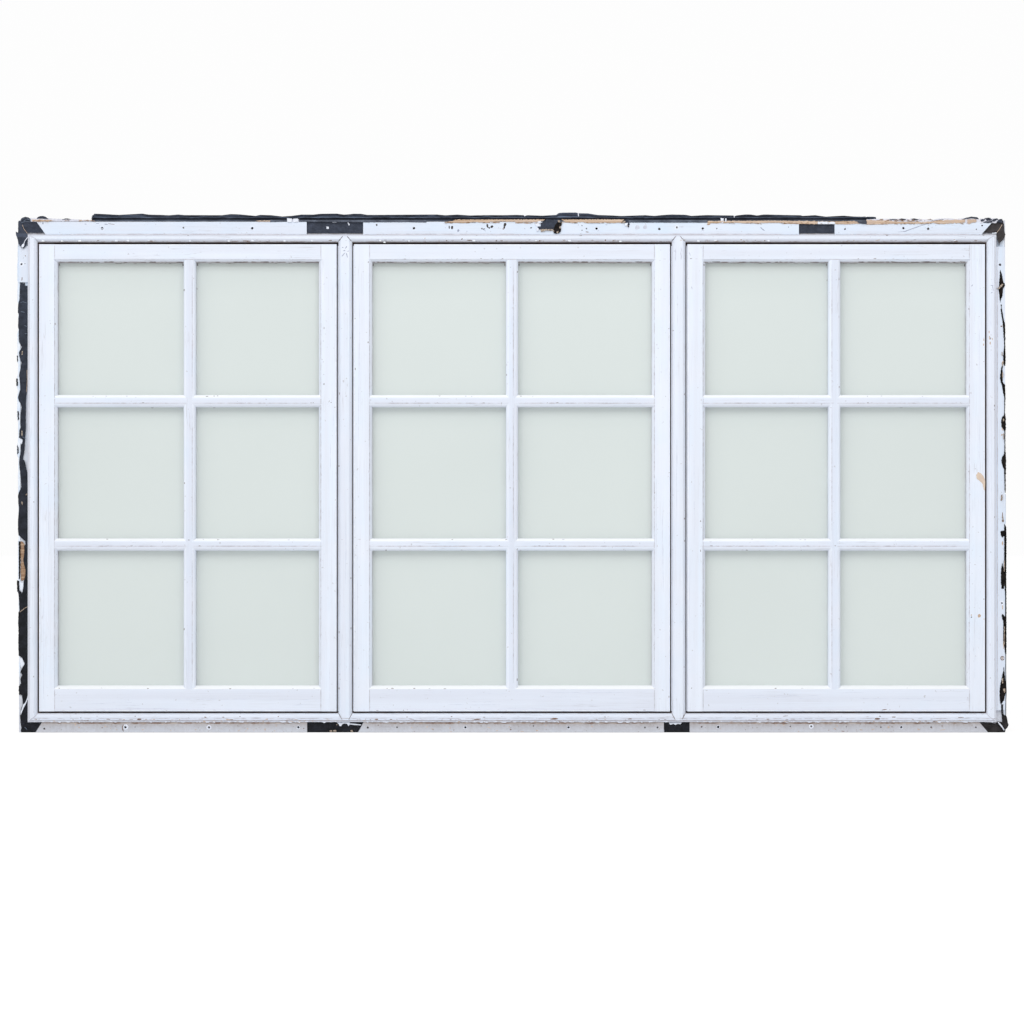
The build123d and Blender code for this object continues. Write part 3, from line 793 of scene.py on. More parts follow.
def burr(shape, column, row, radius, width, height):
    """A raised ring of paint or rust round a hole or a screw head."""
    around = ((-1, 0), (1, 0), (0, -1), (0, 1))
    sides = 20
    reach = (radius + width) / PIXEL
    depth = min(touch(column + reach * x, row + reach * y)[0].y for x, y in around)
    centre = at(column, row, depth)
    points = []
    profile = ((0.0, -0.0001), (0.25, height), (0.6, height * 0.8), (1.0, -0.0001))
    for along, up in profile:
        for side in range(sides):
            angle = math.tau * side / sides
            wave = 1 + 0.12 * noise.noise(Vector((math.cos(angle) * 1.5, math.sin(angle), column)))
            reach = (radius + width * along) * wave
            spoke = Vector((reach * math.cos(angle), -up, reach * math.sin(angle)))
            points.append(above_floor(centre + spoke))
    faces = []
    for ring in range(len(profile) - 1):
        for side in range(sides):
            following = (side + 1) % sides
            near, far = ring * sides, (ring + 1) * sides
            faces.append([near + side, near + following, far + following, far + side])
    shape.put(points, faces)


# Torn membrane round the rim

LEFT_MEMBRANE_OUTSIDE = [
    (20.7, 282), (20.2, 286), (20, 293), (19.8, 300), (18.7, 303), (18.4, 308), (18.2, 312.5), (19.1, 314),
    (18.7, 320), (18.4, 327), (19.2, 329.5), (19.1, 337), (19.5, 342), (21, 345), (22.4, 347), (20.5, 350),
    (19.4, 352), (19.6, 356), (20.8, 360), (22, 362.3), (21.5, 365), (20.5, 370), (19.4, 375), (19.8, 378),
    (20.5, 384), (20.6, 389), (19.5, 393), (18.3, 397), (19, 400.5), (21, 403.5), (22, 407), (21.8, 409.5),
    (21, 413), (20.6, 420), (21.1, 427.5), (19.8, 430), (19.6, 434), (19.4, 437.8), (21, 438),
    (22.8, 439.5), (23.1, 441.5), (21.4, 445), (20.9, 448), (21.3, 450), (20.7, 454), (19.9, 457),
    (19.5, 462), (20, 468), (20.9, 475), (21.3, 480), (21.7, 487), (19.6, 491.5), (18.4, 495), (18.6, 502),
    (19.3, 508), (18.9, 514), (18.4, 520), (18.3, 530), (18.9, 535), (21.5, 537.5), (25.6, 541.5),
    (25.9, 544.5), (24.5, 546), (24.8, 552), (23.8, 560), (24.6, 565), (26.0, 570), (25.8, 575),
    (24.2, 581), (24, 584), (23.4, 590), (22.3, 593.5), (20, 590), (18.8, 588), (18.5, 592), (19.2, 597),
    (19.5, 604), (19.8, 610.2), (18.8, 613.9), (18.5, 623.1), (19, 631.5), (18.7, 639.8), (18.7, 648.1),
    (19.1, 655.5), (22.2, 657.4), (25.2, 663.8), (22.2, 668.5), (20.8, 672.2), (22.7, 674.9), (20.8, 678.6),
    (21.3, 683.7), (19.4, 686), (18.9, 690.7), (20.5, 694.4), (22.2, 695.3), (23.1, 699.9), (23.1, 704.5),
    (21.3, 709), (20.5, 715.6), (21.0, 723), (21.8, 727.7), (21.1, 731.3),
]
LEFT_MEMBRANE_INSIDE = [
    (27.3, 722), (27.6, 700), (27.6, 650), (27.6, 600), (27.6, 540), (27.6, 490), (27.4, 473), (26.2, 468),
    (25.6, 464), (24.3, 460.3), (22.9, 459.3), (23.4, 457), (24.5, 450), (24.8, 445), (25.1, 438),
    (25.8, 430), (25.8, 415), (26, 400), (26.4, 395), (27.3, 388), (27.5, 370), (27.6, 340), (27.6, 300),
    (27.5, 285.5), (26.4, 286), (25.2, 285.6), (24.8, 283.4), (22.6, 283.6), (21.7, 281.8),
]
# How many pixels further out the left edge is laid
OUTSIDE_SHIFT = 0.4
BOTTOM_LEFT_FLAP = [
    (21.1, 732.4), (21.6, 722.6), (41.9, 722.6), (41.6, 724.4), (35.2, 732.6), (23.1, 732.6),
]
BOTTOM_RIGHT_FLAP = [
    (979.6, 722.6), (982.2, 722.2), (992, 723), (995, 723.6), (997.7, 721.6), (1002.2, 722),
    (1001.5, 712.2), (1004, 714.7), (1006.8, 716.4), (1007.8, 722), (1008.6, 725), (1007.4, 727.8),
    (1005.6, 729.4), (1005.2, 731.8), (997.7, 732.6), (988.2, 732.6),
]
TOP_LEFT_FLAP = [
    (18.2, 222), (18.6, 220.8), (20.4, 221), (20.8, 219), (22.4, 217.6), (25.3, 216.8), (28.5, 217.4),
    (31, 219.2), (32.2, 220.6), (36.2, 221.4), (45, 232.8), (27.5, 232.8), (27.4, 238), (27.2, 242.6),
    (25.6, 246.6), (23.2, 248.7), (20.9, 246.7), (18.2, 243.4), (17.8, 240), (15.8, 234.2), (15.7, 231.6),
    (18, 232.8),
]
TOP_RIGHT_FLAP = [
    (981.8, 232.9), (989.6, 223.8), (996, 222.6), (998.8, 220.4), (1000.2, 218.9), (1002.2, 219.2),
    (1003.2, 221.6), (1004.0, 224.4), (1004.2, 231), (1005.4, 234.2), (1004.9, 237.2), (1002.4, 240.6),
    (999.8, 243), (999.0, 246), (998.4, 243), (997.3, 239), (996.2, 232.9),
]
HEAD_MEMBRANE_LEFT = [(306, 220.5), (363.6, 220.5), (363.6, 233.2), (307, 233.2)]
HEAD_MEMBRANE_RIGHT = [(799, 223.5), (835.5, 223.5), (835.5, 233.2), (799, 233.2)]
SILL_MEMBRANE_LEFT = [(306, 722.3), (366.4, 722.3), (362.4, 724.4), (357.4, 732.6), (307, 732.6)]
SILL_MEMBRANE_RIGHT = [(663, 722.3), (690.6, 722.3), (690.5, 732.6), (664.5, 732.6)]
MEMBRANE_THICKNESS = 0.0016
SIDE_STRIP_TOP_ROW = 233
RISE_OVER_STRIP = 0.0060


def lay_membranes():
    """The membrane on the rim, torn along its free edges."""
    flap = crinkled(0.0018, 4, seed=2.0)
    fine = crinkled(0.0010, 4, seed=5.0)
    long = crinkled(0.0022, 6, (0.5, 1.7), 1.0)

    def over_strip(column, row):
        """The upper flaps hang over the tops of the side strips."""
        share = min(1.0, max(0.0, (row - SIDE_STRIP_TOP_ROW) / 4))
        return flap(column, row) + RISE_OVER_STRIP * share

    outside = [(column - OUTSIDE_SHIFT, row) for column, row in LEFT_MEMBRANE_OUTSIDE]
    laid = {
        # name: outline, what it lies on, folds, material
        "left_membrane_torn": (outside + LEFT_MEMBRANE_INSIDE, "left_jamb", long, membrane_stuff),
        "bottom_left_flap": (BOTTOM_LEFT_FLAP, "sill", flap, membrane_stuff),
        "bottom_right_flap": (BOTTOM_RIGHT_FLAP, "sill", flap, tar_membrane),
        "top_left_flap": (TOP_LEFT_FLAP, "head", over_strip, membrane_stuff),
        "top_right_flap": (TOP_RIGHT_FLAP, "head", over_strip, warm_membrane),
        "head_membrane_left": (HEAD_MEMBRANE_LEFT, "head", fine, membrane_stuff),
        "head_membrane_right": (HEAD_MEMBRANE_RIGHT, "head", fine, membrane_stuff),
        "sill_membrane_left": (SILL_MEMBRANE_LEFT, "sill", fine, membrane_stuff),
        "sill_membrane_right": (SILL_MEMBRANE_RIGHT, "sill", fine, membrane_stuff),
    }
    for name, (outline, under, folds, stuff) in laid.items():
        sheet = Shape()
        torn_sheet(sheet, outline, RIM_Y, MEMBRANE_THICKNESS, spacing=0.9, torn=0.22, lift=folds)
        sheet.make(name, stuff)
    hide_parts("left_membrane", "right_membrane")
    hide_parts("head_membrane")
    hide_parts("sill_membrane")


RIGHT_EDGE_SHREDS = [
    [
        (1000.5, 269.6), (1001.6, 273.7), (1002.9, 280.7), (1005, 285.2), (1003, 288.7), (1002.3, 296),
        (1001, 299.8), (1000.7, 302.7), (999.7, 297.3), (998.9, 289.6), (999.4, 283.3), (999.7, 279.4),
    ],
    [(1001.0, 304.3), (1001.9, 305.3), (1001.0, 306.4)],
    [
        (1000.8, 308.8), (1001.7, 309), (1002.9, 315.8), (1004.2, 321.5), (1005.0, 325.4), (1005.2, 333),
        (1004.6, 338.2), (1003.5, 337.8), (1003.2, 327), (1002.8, 321.5), (1001.8, 316),
    ],
    [
        (1004.2, 338), (1005.0, 338), (1005.3, 352), (1005.6, 358), (1005.3, 365.7), (1004.2, 366),
        (1003.4, 359), (1003.8, 352), (1004.4, 346),
    ],
    [
        (1001.8, 366), (1003, 366), (1002.8, 376), (1003.2, 382.6), (1005.0, 385), (1005.4, 397),
        (1004.8, 412), (1005.6, 418), (1005.9, 428), (1005.3, 431), (1005.3, 452), (1006.0, 458),
        (1005.6, 478), (1005.5, 492.5), (1004.7, 492.5), (1004.2, 478), (1003.8, 469), (1002.5, 465.5),
        (1001.6, 461), (1002.2, 457.3), (1003.6, 455), (1004.3, 450), (1004.3, 432), (1003.0, 428.2),
        (1002, 427.5), (1001.3, 422), (1001.8, 418), (1003.8, 415), (1004.2, 411), (1004.1, 397),
        (1003.2, 392), (1002.3, 386), (1001.2, 383), (1000.2, 378), (1000.8, 372),
    ],
    [
        (1004.6, 523.6), (1005.8, 527), (1006, 539), (1005.8, 575), (1005.9, 600), (1006, 640),
        (1005.9, 654), (1004.7, 654), (1003.6, 640), (1003.5, 622), (1001.8, 615.4), (1002.6, 613.8),
        (1004.8, 617), (1005, 600), (1004.4, 580), (1004.5, 545), (1004.4, 530),
    ],
    [(1000.7, 531.1), (1004, 530.5), (1003.9, 535.6), (1002.3, 537.5), (1001, 534.3)],
    [
        (1002.4, 562.8), (1003.6, 570), (1004, 580), (1003.4, 588.8), (1002, 588.8), (1001.2, 582),
        (1001.2, 572),
    ],
    [
        (1003.4, 666.6), (1004.4, 677.1), (1005.9, 686), (1005.9, 692.5), (1004.7, 695), (1003.3, 700.3),
        (1002.5, 703), (1001.2, 704.4), (1000.3, 702.5), (999.8, 694.6), (1000.1, 687.6), (1002.2, 677.1),
        (1002.9, 670),
    ],
    [(1001.2, 704.4), (1002.6, 704.4), (1002.3, 713), (1001.5, 713)],
]
# The shreds reach further past the edge below this row
WIDE_SHREDS_ROW = 520
HAIRLINE_TEAR = [
    (1001, 304), (1001.6, 309), (1002.9, 316), (1003.6, 322), (1004.6, 330), (1004.8, 338), (1004.6, 350),
    (1004.9, 364),
]
UPPER_EDGE_LINE = [(1005.4, 530), (1005.5, 560), (1005.4, 600), (1005.6, 652)]
LOWER_EDGE_LINE = [(1005.9, 654), (1005.8, 670), (1006.0, 684), (1006.3, 692), (1005.9, 700), (1005.8, 716)]
OUTER_BITS = [
    [(16.2, 378), (17.6, 378.6), (17.8, 385.6), (16.4, 386.4)],
    [(16.8, 355), (17.8, 356), (17.9, 361), (17.0, 361.6)],
    [(17.4, 411), (18.9, 411.6), (18.8, 419.4), (17.8, 420.6)],
    [(17.2, 445.2), (18.4, 447), (18.6, 452.6), (17.4, 454.4)],
    [(16.8, 580), (19.2, 581), (19.4, 590), (17.2, 592)],
    [(18.7, 541), (20.6, 542), (20.4, 560), (20.2, 579), (18.8, 579)],
    [(18.8, 686), (20, 687), (19.8, 695), (18.9, 695)],
    [(18.4, 612), (19.4, 613), (19.3, 652), (18.5, 652)],
]
TORN_PATCH = [
    (540.8, 222.8), (545.3, 220.8), (546.2, 219.3), (554.9, 219.5), (559, 222.4), (561.9, 222),
    (561.9, 224.5), (560.7, 226.6), (561.1, 230.7), (559, 233.6), (554, 233.2), (553.6, 229.9),
    (542.4, 229.5), (538.3, 229.7), (537.9, 227), (540.8, 226.7),
]
SMALL_PATCH = [(624.5, 219.9), (628.7, 219.2), (629.5, 224.9), (628.3, 228.6), (627.4, 224.9), (624.1, 222)]
PATCH_EDGE = [
    (553.6, 229.4), (555.4, 224.4), (557.6, 221.8), (561.9, 222), (561.9, 224.5), (560.7, 226.6),
    (561.1, 230.7), (559, 233.6), (554, 233.2),
]
HEM_TAILS = (
    [(270, 219.9), (286.4, 219.9), (286.2, 221.6), (270, 222)],
    [(299.2, 219.9), (426.6, 219.9), (426.4, 222.4), (410, 222.1), (364, 222.3), (299, 221.8)],
    [(628.3, 219.9), (707.6, 219.9), (707.5, 222.6), (628.5, 222.5)],
)


def lay_fragments():
    """Smaller shreds of membrane on and beside the strips."""
    cracked, shreds, tails = Shape(), Shape(), Shape()
    lift = crinkled(0.0008, 3, seed=7.0)
    for outline in RIGHT_EDGE_SHREDS:
        middle = sum(column for column, _ in outline) / len(outline)
        outward = 0.55 if outline[0][1] > WIDE_SHREDS_ROW else 0.15
        wider = [
            (column + (outward if column > middle else -0.25), row) for column, row in outline
        ]
        torn_sheet(cracked, wider, IN_STRIP, 0.0008, 0.6, 0.5, lift)
    stroke(cracked, HAIRLINE_TEAR, 0.9, 0.0006, 1.4)
    bead(cracked, LOWER_EDGE_LINE, RIM_Y - 0.0010, 0.0009)
    bead(cracked, UPPER_EDGE_LINE, RIM_Y - 0.0010, 0.0014)
    torn_sheets(cracked, OUTER_BITS, RIM_Y + 0.001, 0.0030, 0.6, 0.4, lift)
    torn_sheets(shreds, (TORN_PATCH, SMALL_PATCH), IN_STRIP, 0.0009, 0.7, 0.6, lift)
    torn_sheet(cracked, PATCH_EDGE, STRIP_Y - 0.0012, 0.0006, 0.6, 0.6, lift)
    torn_sheets(tails, HEM_TAILS, IN_STRIP, 0.0009, 0.8, 0.25, lift)
    tails.make("faded_hem", faded_membrane)
    cracked.make("cracked_edges", tar)
    shreds.make("membrane_shreds", membrane_stuff)


LEFT_SKIN_EDGE = [
    (17.6, 246), (17.6, 262), (17.2, 265), (17.3, 280), (17.8, 283), (17.3, 290), (17.4, 302), (18.3, 304),
    (18.2, 330), (17.3, 334), (17.3, 344), (17.6, 352), (17.0, 356), (17.2, 362), (18.2, 364), (17.7, 374),
    (17.0, 378), (17.0, 387), (17.8, 391), (17.2, 398), (17.3, 408), (16.9, 412), (17.0, 419), (18, 422),
    (17.9, 440), (17.0, 446), (16.6, 450), (17.0, 455), (18.2, 458), (18.2, 470), (17.8, 475), (18.0, 484),
    (18.4, 500), (18.5, 538), (17.9, 542), (17.9, 579), (17.2, 582), (17.2, 591), (18.6, 594), (18.8, 650),
    (18.9, 655), (19.0, 674), (19.6, 677),
]
RIGHT_SKIN_EDGE = [
    (1005.8, 494), (1006.0, 500), (1005.8, 523), (1005.2, 526), (1005.2, 652), (1006.0, 654), (1005.9, 684),
    (1006.4, 690), (1006.0, 698), (1006.2, 716), (1005.4, 718),
]
LEFT_SKIN_INNER_COLUMN = 20.4
RIGHT_SKIN_INNER_COLUMN = 1003.8
SKIN_PATCHES = (
    [(18.2, 241), (27.4, 241), (27.6, 248), (17.8, 248)],
    [(24.8, 281), (27.9, 281), (27.9, 287), (25, 287)],
    [(997, 240), (1004.0, 240), (1004.2, 248), (997, 248)],
)


def lay_edge_skin():
    """The ragged skin of paint that stands out past the left and right edges of the frame."""
    skin = Shape()
    for edge, inner_column, thickness, seed in (
        (LEFT_SKIN_EDGE, LEFT_SKIN_INNER_COLUMN, 0.0050, 21.0),
        (RIGHT_SKIN_EDGE, RIGHT_SKIN_INNER_COLUMN, 0.0045, 23.0),
    ):
        outline = edge + [(inner_column, row) for _, row in reversed(edge)]
        lift = crinkled(0.0008, 4, seed=seed)
        torn_sheet(skin, outline, RIM_Y + 0.0040, thickness, 1.0, 0.25, lift)
    torn_sheets(skin, SKIN_PATCHES, RIM_Y, 0.0012, 1.0, 0.1)
    skin.make("edge_skin", rim_skin)


# Rolled membrane along the top

ROLL_TOP = [
    (91.6, 215.0), (92.4, 213.9), (94.1, 213.6), (101.6, 213.9), (118.2, 214.8), (131.4, 214.1),
    (141.4, 213.5), (148, 214.5), (159.6, 214.8), (168.7, 215.2), (177.9, 214.4), (183.7, 215),
    (215, 215.1), (221.6, 215.1), (230.7, 214), (239, 214.3), (247.3, 215.1), (255.2, 215.8),
    (259.8, 214.8), (270.5, 215.1), (282.1, 216.4), (291.3, 215.8), (301.2, 214.5), (313.6, 214.5),
    (320.3, 213.7), (336.4, 213.5), (343.1, 214.5), (348, 214.3), (353, 213.7), (360.5, 213.7),
    (367.1, 214.8), (381.2, 214.8), (420, 214.5), (436.6, 214.4), (444.9, 215.2), (457.3, 214.5),
    (469.8, 215.4), (477.2, 215.2), (491.3, 215), (502.9, 215.1), (516.2, 214.8), (523.7, 215.1),
    (525.3, 215.8), (527, 215.1), (542.4, 215.6), (556.5, 214.8), (558.6, 212.9), (563.2, 212.5),
    (575.6, 212.4), (578.9, 213.1), (588, 213.3), (598, 214.9), (612.9, 215.4), (621.2, 215.9),
    (645.3, 215.1), (654.4, 215.8), (662.4, 215), (671.6, 214.4), (685.7, 214.7), (691.5, 215.8),
    (706.4, 215), (720.5, 215.2), (733.7, 215.4), (735.3, 216), (737, 215.3), (745.4, 214.4),
    (751.2, 214.4), (757, 215.4), (764.4, 214.4), (770.2, 214.5), (790.7, 215), (800.7, 215.1),
    (803.2, 215.8), (815.6, 215.1), (826.4, 216.6), (835.5, 216), (844.6, 215.6), (853.7, 216.4),
    (862, 216.6), (866.8, 216.4), (876, 216.5),
]
# Right of this column only a low tail is left
TAIL_START = 866.8
# How far the front edge hangs down, in metres, by column
ROLL_DROOP = [(848, 0.0), (856, 0.0042), (861, 0.0065), (866.4, 0.0075), (866.8, 0.0)]
ROLL_STEPS = 700
ROLL_THICKNESS = 0.0011
# How many pixels over its traced top the roll is laid
ROLL_RAISE = 0.10
TAIL_HEIGHT = 0.0042
TAIL_SQUASH = 0.45


def height_at(profile, column):
    """A profile's value at a column, between its points and past its ends."""
    if column < profile[0][0]:
        return profile[0][1]
    for (c0, r0), (c1, r1) in zip(profile, profile[1:]):
        if c0 <= column <= c1:
            return r0 + (r1 - r0) * (column - c0) / (c1 - c0)
    return profile[-1][1]


def roll_section(column, x, low, rise, squash, tail_back):
    """The section of the folded membrane at a column, as places in depth and height: from the
    back of its lower leaf to the turned down hem, up over the shelf and round the upper fold."""
    slow = noise.noise(Vector((x * 9, 1.3, 0)))
    quick = noise.noise(Vector((x * 40, 2.7, 0)))
    fine = noise.noise(Vector((x * 130, 5.1, 0)))
    droop = height_at(ROLL_DROOP, column)
    fold = 0.40 + 0.07 * slow + 0.04 * quick
    front = RIM_Y + 0.0002
    return [
        (tail_back - ROLL_THICKNESS, low),
        (RIM_Y + 0.040, low + 0.0006 + 0.0006 * slow),
        (RIM_Y + 0.022, low),
        (RIM_Y + 0.010, low),
        (front + 0.0010, low + 0.0003),
        (front - 0.0012 - droop * 0.9, low - (0.0022 + 0.0006 * quick) * squash - droop),
        (front - 0.0024 - droop * 0.9, low - (0.0020 + 0.0006 * quick) * squash - droop * 0.9),
        (front - 0.0014 - droop * 0.6, low + 0.0004 - droop * 0.2),
        (front + 0.0032, low + 0.0020 + 0.0003 * slow),
        (front + 0.0030, low + 0.0034 + 0.0003 * slow),
        (front - 0.0014 + 0.0002 * fine, low + 0.0050),
        (front - 0.0010 + 0.0004 * quick, low + max(0.0060, 0.9 * fold * rise)),
        (front + 0.0024 + 0.0006 * slow, low + (fold + 0.10) * rise),
        (front + 0.0048 + 0.0008 * quick, low + (fold + 0.17) * rise),
        (front + 0.0050 + 0.0010 * slow, low + (fold + 0.24) * rise),
        (front + 0.0044 + 0.0010 * quick, low + (fold + 0.34) * rise),
        (front + 0.0052 + 0.0010 * slow, low + 0.90 * rise),
        (front + 0.0070 + 0.0010 * fine, low + 1.0 * rise),
        (front + 0.0088 + 0.0008 * fine, low + 0.97 * rise),
        (front + 0.0112 + 0.0010 * quick, low + 0.75 * rise),
        (front + 0.0120, low + 0.45 * rise),
        (front + 0.0112, low + 0.2 * rise),
    ]


def lay_roll():
    """The membrane folded over along the top of the head, in two thicknesses with a wavy edge."""
    first, last = ROLL_TOP[0][0], ROLL_TOP[-1][0]
    tail_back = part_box("head_membrane_roll")[1].y
    rows = []
    for step in range(ROLL_STEPS + 1):
        column = first + (last - first) * step / ROLL_STEPS
        x = at(column, 0, RIM_Y).x
        top = at(column, height_at(ROLL_TOP, column) - ROLL_RAISE, RIM_Y).z
        low = HEAD_TOP + ROLL_THICKNESS / 2
        squash = 1.0
        if column > TAIL_START:
            low = max(low, top - TAIL_HEIGHT)
            squash = TAIL_SQUASH
        rise = max(0.003, top - low)
        path = roll_section(column, x, low, rise, squash, tail_back)
        end = min(step, ROLL_STEPS - step) / 3
        pinch = min(1.0, 0.6 + 0.6 * end) * squash
        rows.append([Vector((x, y, z if z < low else low + (z - low) * pinch)) for y, z in path])
    shape = Shape()
    count = len(rows[0])
    faces = []
    for step in range(ROLL_STEPS):
        for index in range(count - 1):
            a = step * count + index
            faces.append([a, a + 1, a + 1 + count, a + count])
    shape.put([place for row in rows for place in row], faces)
    made = shape.make("membrane_roll", rolled_membrane)
    solid = made.modifiers.new("thickness", "SOLIDIFY")
    solid.thickness = ROLL_THICKNESS
    solid.offset = 0
    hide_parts("head_membrane_roll")


# Outlines of the painted rim over the strips
RIM_TOP_LEFT = [
    (31, 221.6), (30.4, 218), (34, 217.9), (38, 218), (48, 218.2), (57, 218.7), (63, 218.9), (70, 219),
    (80, 219.5), (92, 219.8), (92, 221.6),
]
RIM_TOP_RIGHT = [
    (866.4, 221.6), (866.4, 219.4), (872, 219.2), (880, 218.8), (890, 218.6), (899, 218.6), (905, 218.6),
    (915, 218.6), (925, 219.2), (933, 219.6), (940, 218.4), (948, 218.2), (955, 218.9), (963, 218.2),
    (972, 218.3), (980, 218.7), (990, 218.3), (998, 218.4), (999.4, 220.4), (996, 223.2), (989, 223),
    (980, 223.6), (966, 223.8),
]
RIM_TOP_UNDER_ROLL = [(287, 219.2), (299, 219.2), (299, 222.2), (287, 222.3)]
TOP_EDGE_HUMPS = [
    [
        (36.9, 218.6), (37.8, 216.9), (40.4, 216), (43.6, 216), (46.2, 217.1), (48.4, 218.9), (44, 218.7),
        (40, 218.3),
    ],
    [(62, 219.6), (64.5, 218.6), (68, 218.4), (70.8, 219.2), (68, 219.2), (65, 219.3)],
    [(962, 219.4), (966, 217.6), (972, 216.6), (977.2, 217.2), (979, 218.8), (971, 218.2)],
    [(888.5, 219.6), (892, 219), (897, 219.2), (896, 220)],
    [(898.8, 219.4), (901, 218.5), (905.5, 219), (906, 219.8), (902, 220)],
    [(911, 219), (914, 218.3), (918.6, 219.3), (917, 220), (913, 219.8)],
    [(932, 221.4), (936, 220.2), (944, 219.3), (936, 221.2)],
    [(980.4, 220), (982, 219), (985, 219.4), (984, 220.8), (981.6, 221.6)],
    [(983, 222.4), (986, 221.2), (990.4, 221.4), (993, 222.2), (988, 223)],
    [(985.8, 219.4), (989.8, 218.6), (992.4, 219.4), (990.4, 220.6), (987, 220.6)],
    [(993, 219.2), (997, 218.3), (998.4, 219.2), (995.4, 220.6), (994, 221.8), (993.2, 220.6)],
    [(984, 218.2), (988.5, 217.6), (991, 218.2), (987, 218.9)],
    [(990.8, 220.9), (994.8, 219.6), (996.6, 220.2), (993.4, 221.6)],
    [(988, 221.8), (991.6, 220.6), (992.6, 221), (990, 222.4)],
    [(996.4, 222.3), (998.4, 219.8), (1000.2, 218.8), (1001.8, 219.4), (1002.6, 222.6)],
]


def lay_rim_tops():
    """What shows above the strips: painted rim, and shreds of membrane on the top edge."""
    rim, shreds = Shape(), Shape()
    for outline in (RIM_TOP_LEFT, RIM_TOP_RIGHT, RIM_TOP_UNDER_ROLL):
        lift = crinkled(0.0006, 3, seed=14.0)
        torn_sheet(rim, outline, RIM_Y + 0.001, 0.0062, 1.0, 0.3, lift)
    rim.make("rim_top_paint", rim_paint)
    lift = crinkled(0.0012, 2.5, seed=8.0)
    torn_sheets(shreds, TOP_EDGE_HUMPS, RIM_Y - 0.0052, 0.0009, 0.6, 0.25, lift)
    shreds.make("top_edge_shreds", membrane_stuff)


# Bare wood

BARE_BANDS = [
    [
        (444.5, 222.3), (453, 220.9), (456, 219.6), (546, 219.4), (543, 220.8), (540, 221.5), (535, 222.1),
        (524, 222), (516, 222.9), (515, 221.7), (500, 221.4), (494, 221.7), (487, 222.5), (470, 222.2),
        (462, 222.5), (452, 222.4),
    ],
    [
        (561.5, 219.4), (624, 219.4), (622, 222.3), (612, 223), (605, 222.6), (595, 223), (580, 222.3),
        (574, 223), (565, 222),
    ],
    [
        (708, 221), (770, 220.6), (818, 221.2), (835.5, 221.4), (855.4, 221), (860, 223.6), (845, 224.4),
        (836, 224.2), (834, 222.2), (819, 222.2), (817, 224.2), (797, 223.8), (780, 222.7), (747, 223.3),
        (735, 222.7), (712, 223), (707, 225),
    ],
    [
        (866.3, 219.8), (890, 220.6), (900, 221.8), (925, 222), (933, 221.4), (936, 220.3), (950, 220),
        (965, 219.6), (964.8, 222.6), (955, 223.2), (942, 224), (934, 222.8), (925, 223.8), (905, 223.6),
        (890, 223.9), (866.3, 224.5),
    ],
    [(967.2, 219.5), (976.3, 219.4), (976.2, 222.2), (971, 222.8), (969, 224.2), (967, 223.6)],
    [(31.6, 219.6), (44, 219.8), (53, 220.3), (53.2, 221.2), (40, 221.4), (32.3, 221.2)],
    [(79, 220.3), (86, 220), (92, 219.9), (92, 220.7), (84, 221), (79.4, 221.2)],
    [(256, 220.6), (270, 220.4), (270, 221.6), (257, 221.4)],
]
LEFT_ROT = [
    (19.9, 541.3), (23, 541.8), (25.3, 545.3), (24.6, 552), (23.6, 560), (24.4, 565), (25.9, 570),
    (25.6, 575), (24.4, 580), (21, 581), (20.6, 572), (20.8, 560), (20.3, 550),
]
# start column, end column, row
BAND_EDGES = (
    (446, 470, 222.9), (486, 500, 222.6), (515, 531, 223.2), (562, 577, 222.5), (584, 600, 222.9),
    (606, 616, 223), (712, 728, 223), (742, 760, 223.2), (782, 800, 223.8), (838, 850, 224.2),
    (868, 884, 224.3), (886, 900, 222.2), (901, 915, 223.7), (914, 930, 221.6), (935, 946, 223.7),
    (33, 52, 221.2), (884, 890, 220.6),
)
STILE_PATCH = [
    (978.3, 472.1), (976.1, 475), (976.8, 478.8), (979.6, 480.7), (982.5, 483.9), (983.8, 489.6),
    (985, 490.6), (985.4, 480.7), (983.1, 475.6), (980.6, 473.1),
]


def lay_bare_wood():
    """Where the paint has gone from the top edge of the strips and the head."""
    wood, rot, patch = Shape(), Shape(), Shape()
    for outline in BARE_BANDS:
        lift = crinkled(0.0005, 2, (0.15, 1.6), 4.0)
        torn_sheet(wood, outline, RIM_Y, RIM_Y - STRIP_Y + 0.0010, 0.7, 0.8, lift)
    torn_sheet(rot, LEFT_ROT, RIM_Y + 0.0002, 0.0008, 0.7, 0.4, crinkled(0.0012, 2, seed=9.0))
    wood.make("bare_wood_edges", bare_wood)
    for start, end, row in BAND_EDGES:
        stroke(rot, [(start, row), ((start + end) / 2, row - 0.3), (end, row)], 0.8, 0.0006, 1.2)
    rot.make("dark_wood_edges", dark_wood)
    torn_sheet(patch, STILE_PATCH, SASH_Y + 0.0002, 0.0003, 0.8, 0.3, crinkled(0.0002, 1.5))
    patch.make("stile_bare_patch", wood_material("patch_wood", (0.70, 0.58, 0.47), BARE_WOOD, "z"))


# Dirt and painted shade in the joints, and painted highlights on the sash edges

# Left and right columns of the strips that are left on the head
HEAD_STRIPS = ((45, 306), (363, 540), (561, 799), (836, 982))
HEAD_STRIP_FOOT_ROW = 234.3
# Left and right columns of the runs of stain and painted shade under the head lip
HEAD_LIP_STAINS = ((45, 306), (363, 540), (561, 671), (686, 799), (836, 982))
HEAD_LIP_ROW = 241.6
# column, width
SIDE_SEAMS = ((29.4, 1.2), (997.4, 0.7))
SIDE_SEAM_TOP, SIDE_SEAM_BOTTOM = 235.6, 719
SILL_SEAM = [(31, 720.4), (994, 720.4)]
SILL_STRIPS = ((41, 308), (361, 664), (690, 981))
SILL_STRIP_TOP_ROW = 723.2
SILL_CRACK_ROW = 718.4
LIP_START_COLUMN = 31.0
CRACK_END_COLUMN = 990
# Left and right columns of the six upper panes
PANE_COLUMNS = [(59, 183.6), (197, 319.2), (372.6, 505.5), (518.5, 651), (703.4, 827), (840.2, 965.6)]
GLASS_TOP_ROW = 262.1
